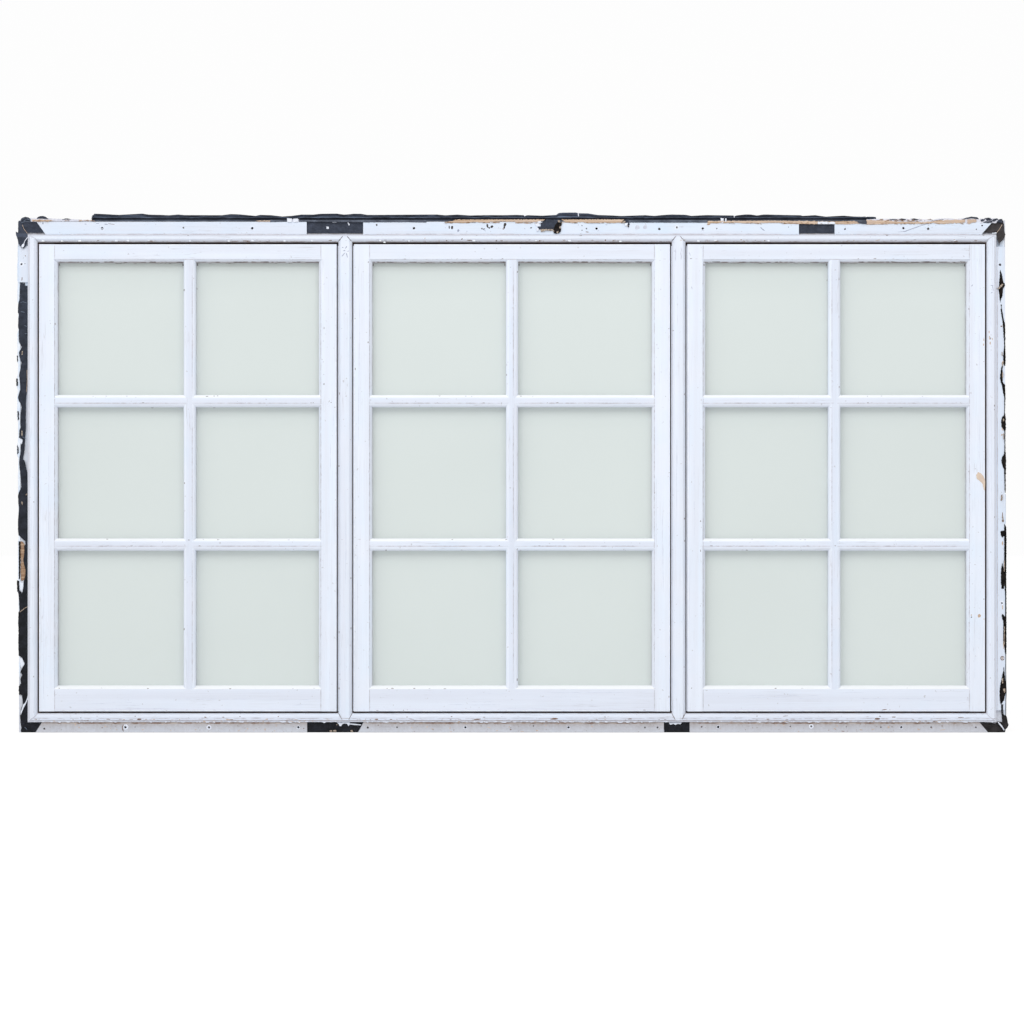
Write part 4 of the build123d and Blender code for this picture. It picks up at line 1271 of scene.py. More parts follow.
# Dirt and painted shade in the top corners of the panes
# row, width, height
CORNER_DIRT_AND_SHADE = ((263.0, 2.4, 2.2), (264.8, 1.0, 2.6))
# Rows and columns of the painted shade lines along the bars
CROSS_BAR_FOOT_ROWS = (403.2, 546.2)
UPRIGHT_BAR_COLUMNS = (192.2, 513.3, 831.9)
# Top and bottom rows of the three upright runs of a bar
PANE_ROWS = ((264, 396), (408, 539), (551, 683))
# The gaps beside the mullions
MULLION_GAP_COLUMNS = (338.15, 353.45, 671.45, 686.75)
# Top row, row by which the last run of paint has started, and bottom row
MULLION_GAP_ROWS = (246, 700, 711)


def lay_long_seams():
    """Dirt and painted shade where strips meet mouldings."""
    seams = Shape()
    for start, end in HEAD_STRIPS:
        stroke(seams, [(start, HEAD_STRIP_FOOT_ROW), (end, HEAD_STRIP_FOOT_ROW)], 1.0, uneven=0.5)
    for column, width in SIDE_SEAMS:
        seam = [(column, SIDE_SEAM_TOP), (column, SIDE_SEAM_BOTTOM)]
        stroke(seams, seam, width, uneven=0.5)
    stroke(seams, SILL_SEAM, 0.8, uneven=0.6)
    seams.make("seam_lines", seam_dirt_and_shade)


def lay_lip_stains():
    """Rust coloured stains and painted shade under the head lip and over the foot strips, and cracks in the
    sill.
    """
    rust_and_shade, cracks, foot = Shape(), Shape(), Shape()
    for start, end in SILL_STRIPS:
        stroke(foot, [(start, SILL_STRIP_TOP_ROW), (end, SILL_STRIP_TOP_ROW)], 1.2, uneven=1.4)
    for start, end in HEAD_LIP_STAINS:
        stroke(rust_and_shade, [(start, HEAD_LIP_ROW), (end, HEAD_LIP_ROW)], 0.8, uneven=1.8)
    column = LIP_START_COLUMN
    while column < CRACK_END_COLUMN:
        length = chance.uniform(5, 26)
        row = SILL_CRACK_ROW + chance.uniform(-0.3, 0.3)
        crack = [(column, row), (column + length, row + chance.uniform(-0.3, 0.3))]
        stroke(cracks, crack, 0.5, uneven=1)
        column += length + chance.uniform(1, 8)
    rust_and_shade.make("lip_stains_and_shade", lip_stain_and_shade)
    foot.make("foot_stains_and_shade", sill_stain_and_shade)
    cracks.make("sill_cracks", seam_dirt_and_shade)


def lay_pane_dirt_and_shade():
    """Dirt and painted shade along the tops of the upper panes and in their corners."""
    dirty_shaded_lips = Shape()
    for left, right in PANE_COLUMNS:
        for start in range(round(left), round(right), 9):
            end = min(right, start + chance.uniform(5, 12))
            width = chance.uniform(0.5, 1.1)
            row = GLASS_TOP_ROW + chance.uniform(-0.2, 0.3)
            if end - start > 2:
                stroke(dirty_shaded_lips, [(start, row), (end, row)], width, uneven=0.9)
    for left, right in PANE_COLUMNS:
        for column in (left + 0.6, right - 0.6):
            for row, width, height in CORNER_DIRT_AND_SHADE:
                mark(dirty_shaded_lips, column, row, width, height, lift=0.0003)
    dirty_shaded_lips.make("pane_dirt_and_shade_lines", dark_dirt_and_shade)


def lay_bar_lines():
    """Lines of painted shade along the glazing bars."""
    bars = Shape()
    for left, right in PANE_COLUMNS:
        for row in CROSS_BAR_FOOT_ROWS:
            stroke(bars, [(left - 3, row), (right + 3, row)], 0.75, uneven=0.9)
    for column in UPRIGHT_BAR_COLUMNS:
        for top, bottom in PANE_ROWS:
            stroke(bars, [(column, top), (column, bottom)], 0.55, uneven=0.9)
    bars.make("bar_shade_lines", seam_dirt_and_shade)


def lay_edge_highlights():
    """Painted highlights along the edges round each sash."""
    edges = Shape()
    inset = 0.0016
    for side in SASHES:
        low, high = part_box(f"{side}_sash_left_stile")
        far_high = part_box(f"{side}_sash_right_stile")[1]
        left = column_of(low.x + inset, SASH_Y)
        right = column_of(far_high.x - inset, SASH_Y)
        top = row_of(high.z - inset, SASH_Y)
        bottom = row_of(low.z + inset, SASH_Y)
        for start, end in (
            ((left, top), (right, top)),
            ((left, bottom), (right, bottom)),
            ((left, top), (left, bottom)),
            ((right, top), (right, bottom)),
        ):
            stroke(edges, [start, end], 0.75, 0.0002, uneven=0.9)
    edges.make("edge_highlights", highlight_paint)


def lay_paint_in_gaps():
    """Runs of paint that nearly close the gaps beside the mullions."""
    runs = Shape()
    top, last_start, bottom = MULLION_GAP_ROWS
    reach = 52
    for column in MULLION_GAP_COLUMNS:
        for start in range(top, last_start, reach):
            end = min(bottom, start + reach)
            bead(runs, [(column, start), (column, end)], SASH_Y + 0.0025, 0.0007)
    runs.make("paint_in_gaps", white_flake)


# Chips, holes and scratches, as column, row, width, height and turn

TAN_MARKS = [
    (228.3, 719.7, 6, 1.5, 6), (204.3, 721.3, 3, 1.8), (214, 721, 4, 0.7, 8), (238, 720.8, 3, 0.8, -20),
    (299.7, 721.3, 2.4, 1.8), (287.4, 722.4, 1.5, 0.9), (75.4, 724.4, 1.3, 2.6), (110.6, 728.4, 1, 1.2),
    (154, 719.5, 2.8, 1), (172.9, 720.2, 1.6, 0.9), (435.7, 720.4, 5, 0.8, 3), (458.7, 721.8, 4, 1.1, -8),
    (498, 720.8, 6, 0.8), (416, 721.5, 6, 0.9, -4), (484.7, 720, 2, 0.9), (823.5, 720.1, 7, 1.1),
    (834.2, 720.1, 2, 1), (892.5, 721, 2, 1.2), (960.8, 720.3, 8, 0.9), (920, 721.4, 2.4, 0.7),
    (936.7, 721.4, 1.8, 0.9), (851, 721, 2, 0.7), (620, 720.6, 4, 0.8), (705, 721, 3, 0.9, 5),
    (239, 730.4, 4, 0.7, -35), (246, 731, 1.6, 0.8), (254, 730, 1, 1.2), (265, 729.4, 1.2, 2.4, 10),
    (276.2, 725.9, 0.9, 1.8, 20), (195, 732, 5, 0.7), (411.7, 727.4, 1.2, 1.4), (427, 727, 1.6, 1.4),
    (432.6, 729, 3.6, 0.7, 12), (450, 728, 1.4, 1.6, 40), (451, 731.6, 3, 0.6), (489, 727.4, 5, 0.8, 10),
    (497, 730.6, 2, 0.9, -35), (509.2, 726.9, 1, 1.5, 30), (522, 731.4, 5, 0.6), (545.9, 725.6, 0.9, 1.6),
    (537, 730.5, 3, 1.2, -20), (861, 729.8, 3.6, 0.9, 10), (873, 729.4, 4, 0.7, -25),
    (888.5, 727.2, 2.6, 2, 30), (918.6, 729.4, 3, 1.2, 25), (942.7, 729.8, 6.5, 0.8, -8),
    (117.8, 241, 3.5, 1, 20), (425, 238.2, 1.4, 0.8, -30), (741.2, 239.8, 1.8, 0.9),
    (877.8, 240.2, 6, 0.7, -12), (954.3, 239.8, 2, 0.9), (80.6, 241.2, 3, 0.8, 8),
    (979.3, 615.9, 3.6, 4.2, 20), (984.1, 619.1, 1.5, 1.5), (984.9, 624.2, 1.3, 5.5, -15),
    (971.3, 615.2, 1, 1.8, 20), (1002.6, 362.9, 2, 4.2, 15), (1002.3, 429.2, 1.5, 3),
    (1001.8, 434.9, 2.4, 1.6, -20), (1002.5, 543.2, 2, 5), (1002.6, 607, 1.2, 6), (1003.6, 640, 1.1, 22),
    (983.9, 339.5, 1.1, 4), (983.6, 344.6, 1.0, 3), (989.6, 337.5, 1.2, 5), (990.2, 343, 1.2, 4),
    (989.2, 332, 0.9, 3.6), (992.4, 339, 0.8, 2.6), (709, 224.5, 3, 1.2, -25), (1003.0, 325.2, 0.9, 3, 20),
]
BROWN_MARKS = [
    (139.2, 719.4, 5.2, 1.9, -6), (256.8, 720.4, 5, 0.8), (477, 719.3, 9.5, 1.5, -3),
    (554.1, 718.9, 9, 2.2, -2), (877.1, 718.9, 6.5, 2.2), (960.8, 717.5, 8, 0.7), (893.8, 717, 5, 0.9),
    (884.5, 709.6, 6, 0.8, -8), (785.4, 716, 6, 0.6, -6), (223.2, 717.2, 3, 0.7),
    (205.3, 717.2, 2.8, 1, 10), (278.3, 716.5, 1.3, 1), (451.5, 716.5, 2, 0.8), (484.2, 717.2, 3, 0.7),
    (630, 718.8, 5, 1.4), (768, 719.2, 4, 0.9), (391, 719.4, 3, 1), (407.1, 717, 2, 0.7),
    (99.7, 731.5, 1.8, 1.4), (220.3, 731.8, 2.8, 1.4, -10), (510.7, 729.6, 1.8, 1.4), (843, 731.2, 4, 0.8),
    (235.5, 241.2, 9, 0.7), (246.5, 241, 9, 1.1, 2), (446.5, 240.7, 1.8, 1), (461.9, 239, 2.4, 1.2, -25),
    (469.8, 240.3, 7, 0.9), (501.3, 241, 3.4, 0.8), (496.3, 240.7, 1.8, 1.4), (539.8, 240.7, 1.8, 1.4),
    (605.5, 240.2, 1.6, 1.4), (764.8, 240.7, 1.8, 0.9), (49, 220.6, 7, 1.2), (1001.8, 496, 1.8, 3.6, 10),
    (1001.3, 499.9, 1.6, 2.2), (1002.5, 515, 0.9, 7, 4), (1003, 520.8, 2.4, 2.8), (1001.3, 326.3, 1.9, 1.7),
    (27.2, 248, 0.8, 5), (22, 279, 0.9, 4.5, 4), (25.4, 255.8, 1.1, 1.4, 20), (346.5, 730.2, 2, 1),
    (974, 222, 3.4, 1.6, 20), (984.5, 221.2, 8, 1.8), (902, 218.9, 2, 0.8), (914, 219.3, 4, 0.8, 8),
    (884, 221.3, 4, 0.9, 10), (896, 222, 4, 0.8, 12), (111.5, 224.1, 8, 0.5, 7), (587.2, 232, 4, 0.8, 6),
    (506.2, 222.6, 2.4, 2, 5), (503.2, 229, 1.6, 1.6, 5), (984.6, 345, 1.2, 2), (23.5, 575, 1.4, 6, 10),
    (21.8, 556, 1, 8),
]
DARK_MARKS = [
    (504.9, 224.6, 3.4, 4.4, 10), (504.2, 227.4, 2.2, 2.8, -10), (487.2, 224.8, 1.2, 2.2),
    (449.2, 227.4, 1.4, 3.8), (452, 227.4, 2.7, 4), (481.8, 228.6, 1.8, 1.7), (487.4, 226.0, 2.1, 4.6, -15),
    (489.2, 227.9, 2.2, 1.8), (491.9, 226.6, 3.2, 3.2, 30), (376.7, 224.9, 1.9, 2.3, 20),
    (586.4, 228.6, 1.6, 1.6), (582, 225.6, 1.2, 1.2), (582, 230.3, 1.2, 1.2), (531.1, 227.8, 2.2, 1.4, -25),
    (483.8, 229, 2.6, 1, -30), (561.5, 720.6, 1.4, 0.8), (971.4, 617.1, 1.5, 1.5), (80.8, 718, 1, 1),
    (25, 263.6, 0.9, 1), (23.6, 258, 0.6, 0.8), (788.5, 227, 0.8, 1.2), (903.4, 228, 1.3, 2),
    (461, 722, 2, 0.6), (22.6, 353.2, 0.9, 2.4), (558, 231, 1.4, 2),
]
FAINT_MARKS = [(637.3, 227.4, 6, 6), (645.3, 227.2, 5.4, 5.6, 8)]
PALE_MARKS = (
    (42.8, 223.2, 2.0, 1.9), (85.5, 224.2, 2.4, 1.2), (97.5, 223.5, 4, 0.7), (458.3, 230.6, 2.2, 3, 10),
    (467, 231.3, 1.1, 1.1), (524.8, 228.7, 1, 1), (484.8, 230.2, 1.0, 2.8, -30), (606.4, 224.8, 2.6, 0.8),
    (598.2, 230.6, 0.8, 2, 20), (702.9, 230.6, 3, 0.8),
)
GREY_STROKES = [
    [(341, 246.7), (343.7, 248)], [(346.9, 246), (345.3, 248.6)], [(343.2, 250.8), (345.3, 250.5)],
    [(345, 252.7), (343.4, 254.5), (341.2, 257.2)], [(346.3, 253), (347, 255.5), (347.5, 257.8)],
    [(347.2, 251.3), (350.1, 250.8)],
    [(940, 220.4), (931, 222.6), (922.3, 225.2), (914, 228.1), (904.9, 231.4), (898, 232)],
    [(760.3, 227), (762.5, 229.3), (764.8, 230.7)], [(104, 224), (108, 224.6)],
    [(995.6, 289.2), (999, 287.6)], [(990.3, 285.3), (993.5, 285.6)], [(992.6, 285.6), (993.3, 291)],
    [(992.8, 292), (990.6, 293.3)], [(971.5, 286.5), (972.6, 284.6)],
]
FAINT_STROKES = [
    [(675.2, 248.6), (675.6, 252), (675.4, 256), (675.5, 261)], [(674.0, 250.8), (675.8, 251.4)],
    [(681.0, 246.8), (681.4, 250.4), (680.7, 253.4), (681.3, 256), (681.0, 260)],
    [(679.0, 226.2), (681.4, 227.0), (683.8, 226.8)], [(674.9, 226.8), (675.8, 225.6)],
    [(688.9, 252), (690.6, 255.8)], [(691.4, 286), (692.2, 289.4)],
]
# column, row, radius in pixels, and True where paint stands up round it
HOLES = [
    (183.4, 227.7, 1.0), (328.2, 227.6, 1.0, True), (659.4, 229, 1.4), (676.9, 227.4, 1.0, True),
    (716.9, 228.5, 0.75), (845, 229, 1.1), (928, 228.9, 1.5), (976.4, 229.3, 0.7), (982.2, 225.5, 1.0),
    (21.5, 264.2, 1.2, True), (1000, 264.7, 1.5), (44.2, 728.7, 1.2), (209, 727.4, 1.2, True),
    (367.8, 727.6, 1.2), (397, 727.2, 1.0), (533.5, 725.9, 0.8), (645, 727.5, 1.0), (657.5, 727.5, 1.1),
    (701.7, 726.8, 1.0), (790.3, 726.5, 0.8), (811.3, 726.4, 1.1, True), (846.3, 726.8, 0.6),
    (880.9, 727.2, 0.8), (931.1, 727.2, 1.0), (975.8, 727.3, 1.0), (135.1, 727, 0.6),
    (1001.9, 603.1, 1.1, True),
]
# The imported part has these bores; here they get their ring of broken paint
STATED_HOLES = [
    (101.9, 227.2), (252.2, 228.1), (413.8, 228.2), (596.6, 228.7), (702.8, 228.6), (903.5, 228),
    (125.2, 727.5), (298.3, 727.5), (465.3, 727.5), (568.5, 727.5), (718.2, 727), (901.4, 727.5),
]
DRIPPING_SCREW = (125.6, 727.2)
RUST_RUN = [(123.6, 724.6), (122.5, 727), (122.6, 729.4), (123.6, 731.4)]
# A tan spot in a brown ring
KNOT = (1002.4, 658.2)
KNOT_RADIUS = 1.75
KNOT_CORNERS = 12
HEAD_SCREW = (676.5, 228.3, 2.2, 1.8, 20)


def lay_marks():
    """Chips, holes and scratches where the photograph has them."""
    tan, brown, dark, pale, faint, rings = (Shape() for _ in range(6))
    for shape, places in ((tan, TAN_MARKS), (brown, BROWN_MARKS), (dark, DARK_MARKS)):
        for place in places:
            mark(shape, *place)
    for column, row, radius, *raised in HOLES:
        # Each hole is a dark spot: painted shade of the hole
        mark(dark, column, row, radius * 2, radius * 2, lift=0.00008)
        if raised:
            burr(rings, column, row, radius * PIXEL, 0.0030, 0.0008)
    for column, row in STATED_HOLES:
        burr(rings, column, row, 0.0029, 0.0012, 0.0005)
    burr(rings, *DRIPPING_SCREW, 0.0034, 0.0030, 0.0012)
    stroke(brown, RUST_RUN, 0.9, 0.0011)
    for points in GREY_STROKES:
        stroke(pale, points, 0.8)
    for points in FAINT_STROKES:
        stroke(faint, points, 0.8)
    column, row = KNOT
    knot = []
    for corner in range(KNOT_CORNERS + 1):
        angle = math.tau * corner / KNOT_CORNERS
        knot.append((column + KNOT_RADIUS * math.cos(angle), row + KNOT_RADIUS * math.sin(angle)))
    stroke(brown, knot, 0.8, 0.0006)
    mark(brown, *HEAD_SCREW)
    mark(tan, column, row, 1.9, 1.9)
    for place in FAINT_MARKS:
        mark(faint, *place, lift=0.00005)
    for place in PALE_MARKS:
        mark(pale, *place)
    faint.make("faint_scuffs", scuff)
    tan.make("tan_chips", bare_wood)
    brown.make("brown_chips", brown_wood)
    dark.make("small_holes", hole_shade_and_blots)
    pale.make("scratches", slate)
    rings.make("broken_paint_rings", white_flake)


SILL_WEAR_ROWS = (719.4, 720.2, 721.0, 721.6)
# left, right, top, bottom, count
WOOD_STAINS = (
    (876, 933, 219.3, 221.6, 30), (868, 964, 223.2, 224.2, 16), (446, 540, 222.2, 223.2, 16),
    (562, 622, 222.2, 223.1, 12), (710, 850, 222.6, 224.2, 22), (32, 53, 220.6, 221.6, 6),
    (62, 92, 220.3, 221.3, 6),
)


def lay_lip_wear():
    """Chipped and stained paint along the lips, thickest along the sill, and specks on the strip
    at the foot."""
    tan, brown, grey = Shape(), Shape(), Shape()
    for _ in range(150):
        column = chance.uniform(34, 990)
        shape = chance.choice((tan, brown, grey, grey))
        wide = chance.uniform(1.0, 5.0) * (1.0 if shape is not grey else 1.4)
        row = chance.choice(SILL_WEAR_ROWS) + chance.uniform(-0.3, 0.3)
        mark(shape, column, row, wide, chance.uniform(0.5, 1.1), chance.uniform(-8, 8))
    for _ in range(70):
        column = chance.uniform(45, 980)
        shape = chance.choice((tan, brown, grey, grey, grey))
        row = chance.uniform(239.8, 241.4)
        mark(shape, column, row, chance.uniform(1.0, 4.0), chance.uniform(0.4, 0.8))
    for _ in range(90):
        column = chance.uniform(44, 985)
        shape = chance.choice((tan, brown, grey, grey))
        size = chance.uniform(0.5, 1.3)
        mark(shape, column, chance.uniform(724, 732), size * chance.uniform(1, 2), size)
    squiggles = Shape()
    for left, right, top, bottom, count in WOOD_STAINS:
        for _ in range(count):
            column, row = chance.uniform(left, right), chance.uniform(top, bottom)
            wide, tall = chance.uniform(1.5, 4.5), chance.uniform(0.35, 0.7)
            outline = [
                (column, row), (column + wide / 2, row - tall), (column + wide, row + 0.2),
                (column + wide / 2, row + tall * 0.4),
            ]
            torn_sheet(squiggles, outline, STRIP_Y - 0.0012, 0.0004, 0.5, 0.3)
    squiggles.make("wood_stains", dark_wood)
    tan.make("lip_tan", bare_wood)
    brown.make("lip_brown", lip_stain_and_shade)
    grey.make("lip_grey", seam_dirt_and_shade)


# left, right, top, bottom of the faces of the bottom rails
BOTTOM_RAILS = ((60, 330, 691, 709), (374, 652, 691, 709), (706, 968, 691, 709))
# column, top, bottom, and how far the lines stray, of stiles, mullions and jambs
GRAINED_UPRIGHTS = (
    (45, 250, 706, 1), (329, 250, 706, 1), (361, 250, 706, 1), (661, 250, 706, 1), (693, 250, 706, 1),
    (976, 250, 706, 1), (345, 246, 708, 0.3), (678, 246, 708, 0.3), (32, 246, 712, 0.3),
    (992, 246, 712, 0.3),
)


def lay_grain():
    """Long faint lines in the paint of the bottom rails and of the uprights."""
    lines = Shape()
    for left, right, top, bottom in BOTTOM_RAILS:
        for _ in range(7):
            start = chance.uniform(left, right - 30)
            end = min(right, start + chance.uniform(20, 90))
            row = chance.uniform(top, bottom)
            sag = chance.uniform(-1.2, 1.2)
            points = [(start, row), ((start + end) / 2, row + sag), (end, row + sag * 0.4)]
            stroke(lines, points, chance.uniform(0.35, 0.6), 0.00005, uneven=1.2)
    for column, top, bottom, stray in GRAINED_UPRIGHTS:
        for _ in range(3):
            start = chance.uniform(top, bottom - 40)
            place = column + chance.uniform(-5, 5) * stray
            end = min(bottom, start + chance.uniform(25, 110))
            foot = place + chance.uniform(-0.5, 0.5)
            stroke(lines, [(place, start), (foot, end)], 0.4, 0.00005, 1.2)
    lines.make("grain_lines", trace)


# column, top, bottom
KNOCKED_UPRIGHTS = [
    (33.5, 250, 715), (54.7, 262, 684), (184.5, 262, 684), (196.2, 262, 684), (323.7, 262, 684),
    (335.5, 245, 710), (339.3, 245, 712), (350.6, 245, 712), (355.3, 245, 710), (368.6, 262, 684),
    (506.4, 262, 684), (517.7, 262, 684), (654.4, 262, 684), (669.2, 245, 710), (672.6, 245, 712),
    (684.2, 245, 712), (687.2, 245, 710), (700.8, 262, 684), (828.4, 262, 684), (839.4, 262, 684),
    (969.4, 262, 684), (984.3, 245, 710), (990.6, 245, 712), (994.7, 245, 712),
]
# row, left, right
KNOCKED_LEVELS = [
    (396.3, 60, 966), (402.8, 60, 966), (407.3, 60, 966), (539.6, 60, 966), (545.8, 60, 966),
    (550.3, 60, 966), (258.6, 58, 966), (688.4, 58, 966), (710.2, 42, 984), (716.5, 40, 990),
    (719.6, 32, 996), (235.4, 40, 990),
]


def lay_nicks():
    """Small nicks along the edges that get knocked: arrises of stiles, mullions, jambs and bars."""
    nicks, pale = Shape(), Shape()
    for column, top, bottom in KNOCKED_UPRIGHTS:
        for _ in range(5):
            row = chance.uniform(top, bottom)
            shape = nicks if chance.random() < 0.45 else pale
            tall = chance.uniform(0.9, 3.2)
            mark(shape, column + chance.uniform(-0.5, 0.5), row, chance.uniform(0.6, 1.1), tall)
    for row, left, right in KNOCKED_LEVELS:
        for _ in range(16):
            column = chance.uniform(left, right)
            shape = nicks if chance.random() < 0.4 else pale
            wide = chance.uniform(1.0, 3.6)
            mark(shape, column, row + chance.uniform(-0.4, 0.4), wide, chance.uniform(0.5, 0.9))
    nicks.make("small_nicks", grime)
    pale.make("faint_nicks", faint_grime)


# top row, bottom row, width and unevenness of the lines down a stile
STILE_JOINTS = (
    (244.6, 258.8, 0.55, 0.6), (688.2, 711.0, 0.55, 0.6), (259.4, 687.4, 0.45, 1.2),
)
STILE_JOINT_INSET = 0.0365
MULLION_COLUMNS = (345.4, 678.5)
FRAME_MITRES = (
    [(38.2, 713), (35, 716.4), (29.6, 720.6)], [(985.9, 713), (989, 716.4), (994.6, 720.6)],
    [(38.2, 241.4), (35, 238.4), (29.6, 235.6)], [(985.9, 241.4), (989, 238.4), (994.6, 235.6)],
)


def lay_joint_lines():
    """Hairline cracks in the paint where stile meets rail and at the mitres of the frame, and a line of
    painted shade along each top rail.
    """
    lines, mitres = Shape(), Shape()
    for side in SASHES:
        for hand, inward in (("left", 1), ("right", -1)):
            low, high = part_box(f"{side}_sash_{hand}_stile")
            outer = low.x if inward > 0 else high.x
            column = column_of(outer + inward * STILE_JOINT_INSET, SASH_Y)
            for top, bottom, width, uneven in STILE_JOINTS:
                stroke(lines, [(column, top), (column, bottom)], width, uneven=uneven)
        # A line of painted shade along each top rail, where its flat turns down into the bevel
        low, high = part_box(f"{side}_sash_top_rail")
        row = row_of(low.z + 0.007, SASH_Y)
        left, right = column_of(low.x, SASH_Y), column_of(high.x, SASH_Y)
        stroke(lines, [(left + 1, row), (right - 1, row)], 0.6, uneven=0.9)
    for centre in MULLION_COLUMNS:
        for side in (-1, 1):
            foot = [(centre + side * 7.0, 713.2), (centre + side * 3.2, 719.8)]
            stroke(mitres, resample(foot, 0.5), 0.65, 0.0005, uneven=0.7)
            top = [(centre - 0.5 + side * 6.6, 241.4), (centre - 0.5 + side * 1.8, 235.8)]
            stroke(mitres, resample(top, 0.5), 0.6, 0.0004)
    for corner in FRAME_MITRES:
        stroke(lines, resample(corner, 0.5), 0.6, 0.0004, uneven=0.6)
    mitres.make("mitre_cracks", dark_dirt_and_shade)
    lines.make("joint_lines", seam_dirt_and_shade)


# Lifted paint and remains

# outline, depth
PAINT_TAGS = [
    (
        [(21.2, 246.2), (22.2, 244.2), (24.0, 243.2), (24.4, 244.6), (23.7, 246.8), (22.3, 247.8)],
        RIM_Y - 0.01,
    ),
    (
        [(27.4, 236.8), (27.6, 237.8), (25.2, 241.2), (24.2, 243.6), (23.6, 243.4), (24.6, 240.7)],
        RIM_Y - 0.0098,
    ),
    ([(19.6, 438.2), (22.9, 439.4), (22.9, 441.6), (21.3, 444.2), (19.6, 443)], RIM_Y),
    ([(22.5, 461), (24.2, 466), (24.7, 487), (22.3, 489.2), (21.4, 480), (21.8, 470)], RIM_Y),
    ([(18.7, 582), (23.8, 583), (23.2, 590), (22.2, 593.2), (20, 590), (18.9, 587)], RIM_Y),
    ([(19, 656.9), (22.2, 657.8), (24.9, 663.8), (22, 668.2), (20.2, 666)], RIM_Y),
    (
        [
            (28.1, 694), (28.2, 698), (26.4, 702.7), (23.6, 708.2), (20.6, 715.4), (20.7, 712),
            (23.2, 704.6), (25.4, 702.5), (26.8, 699),
        ],
        RIM_Y - 0.0025,
    ),
    ([(287.1, 218.3), (292, 218.5), (291.8, 222.4), (287.4, 222.3)], STRIP_Y),
    ([(293.1, 218.7), (298.2, 218.6), (298, 222.3), (293.3, 222.4)], STRIP_Y),
    ([(720.5, 218), (723.8, 218.3), (723.4, 222.8), (721.2, 222.7)], STRIP_Y),
    ([(725, 218.5), (726.6, 218.6), (726.3, 221.7), (725.3, 221.6)], STRIP_Y),
    ([(535.2, 223), (538.5, 222.7), (540.6, 225.8), (537.8, 226.8), (535.6, 225.6)], STRIP_Y),
    ([(537.4, 221.6), (540.6, 221), (541.6, 222.4), (539, 223.4)], STRIP_Y - 0.0008),
    ([(536, 228.6), (538.6, 228), (539, 230.4), (536.8, 231.6)], STRIP_Y - 0.0004),
    ([(624.4, 223.4), (628, 222.8), (627.4, 225.6), (625, 226)], STRIP_Y - 0.001),
    ([(332.4, 221.6), (337, 221), (336.4, 222.3), (332.6, 222.6)], RIM_Y - 0.0022),
    ([(347.4, 222.3), (348.6, 222.2), (349.8, 225), (348.7, 225.4)], RIM_Y - 0.0022),
    ([(326.4, 226.6), (329, 226.8), (328.8, 229), (326.6, 228.8)], RIM_Y - 0.0022),
    ([(818, 221.5), (835, 221.8), (835.2, 224.2), (817.6, 224.2)], STRIP_Y),
    (
        [
            (336.5, 722.2), (350, 722.2), (349.8, 724.6), (348.4, 726.2), (347.2, 724), (344.6, 723.5),
            (342.6, 724.2), (341.2, 726), (339.8, 726.4), (338.6, 724),
        ],
        RIM_Y - 0.0022,
    ),
    (
        [(349, 723.2), (356, 723.9), (361.5, 724.6), (361, 725.3), (354, 725), (349.4, 724.2)],
        RIM_Y - 0.0024,
    ),
    (
        [
            (668.5, 722.4), (682, 722.4), (680.5, 724.4), (678, 723.8), (675.6, 725), (673.5, 723.9),
            (670.4, 724.9),
        ],
        RIM_Y - 0.0022,
    ),
    (
        [
            (997.6, 722.3), (998.5, 721.9), (1001.9, 725.4), (1004.7, 730.0), (1004.0, 730.7),
            (1001.1, 726.6),
        ],
        RIM_Y - 0.0046,
    ),
    ([(992, 233), (996.4, 232.4), (996.9, 233.4), (992, 233.8)], STRIP_Y),
    ([(523.9, 215), (524.8, 215), (525, 216.4), (524.2, 216.4)], RIM_Y - 0.003),
    ([(577.8, 213.2), (578.6, 213.2), (579.1, 216.4), (578.3, 216.4)], RIM_Y - 0.003),
    ([(733.8, 215.6), (734.7, 215.6), (734.6, 217.6), (733.9, 217.6)], RIM_Y - 0.003),
]
# column, row
LIP_NIBS = (
    (43, 241), (62, 241), (79.6, 240.9), (116.3, 240.7), (128.1, 240.7), (148.9, 240.3), (189.9, 241),
    (228.7, 241), (252.7, 240.8), (284.6, 241), (311.8, 240.8), (329, 239.6), (380.4, 240.7),
    (384.5, 242.4), (409, 241), (473.9, 240.8), (569.8, 240.8), (620.4, 241.4), (698.5, 241),
    (715.5, 240.4), (768.6, 240.8), (954.8, 240.4), (536, 240.8),
)
FILLER_ON_MEMBRANE = (
    [(329.4, 730.6), (331.4, 730), (332.4, 731.2), (331, 732.3), (329.8, 732)],
    [(333, 730.2), (335.4, 729.9), (336.8, 731.2), (335.2, 732.2), (333.6, 731.6)],
    [(350.4, 730.4), (352.4, 730), (353.2, 731.8), (351, 732.2)],
    [(335.6, 724), (337.6, 724.4), (336.8, 725.4)], [(22, 351), (22.9, 351), (22.6, 354.6), (21.6, 355)],
    [(21.4, 430.6), (22.6, 430.8), (22.4, 436), (21.4, 436)],
    [(25.4, 494.6), (27.6, 493), (27.6, 494.4), (25.9, 495.6)],
    [(21.5, 501.4), (22.8, 502.2), (22.6, 505), (21.4, 504)],
)
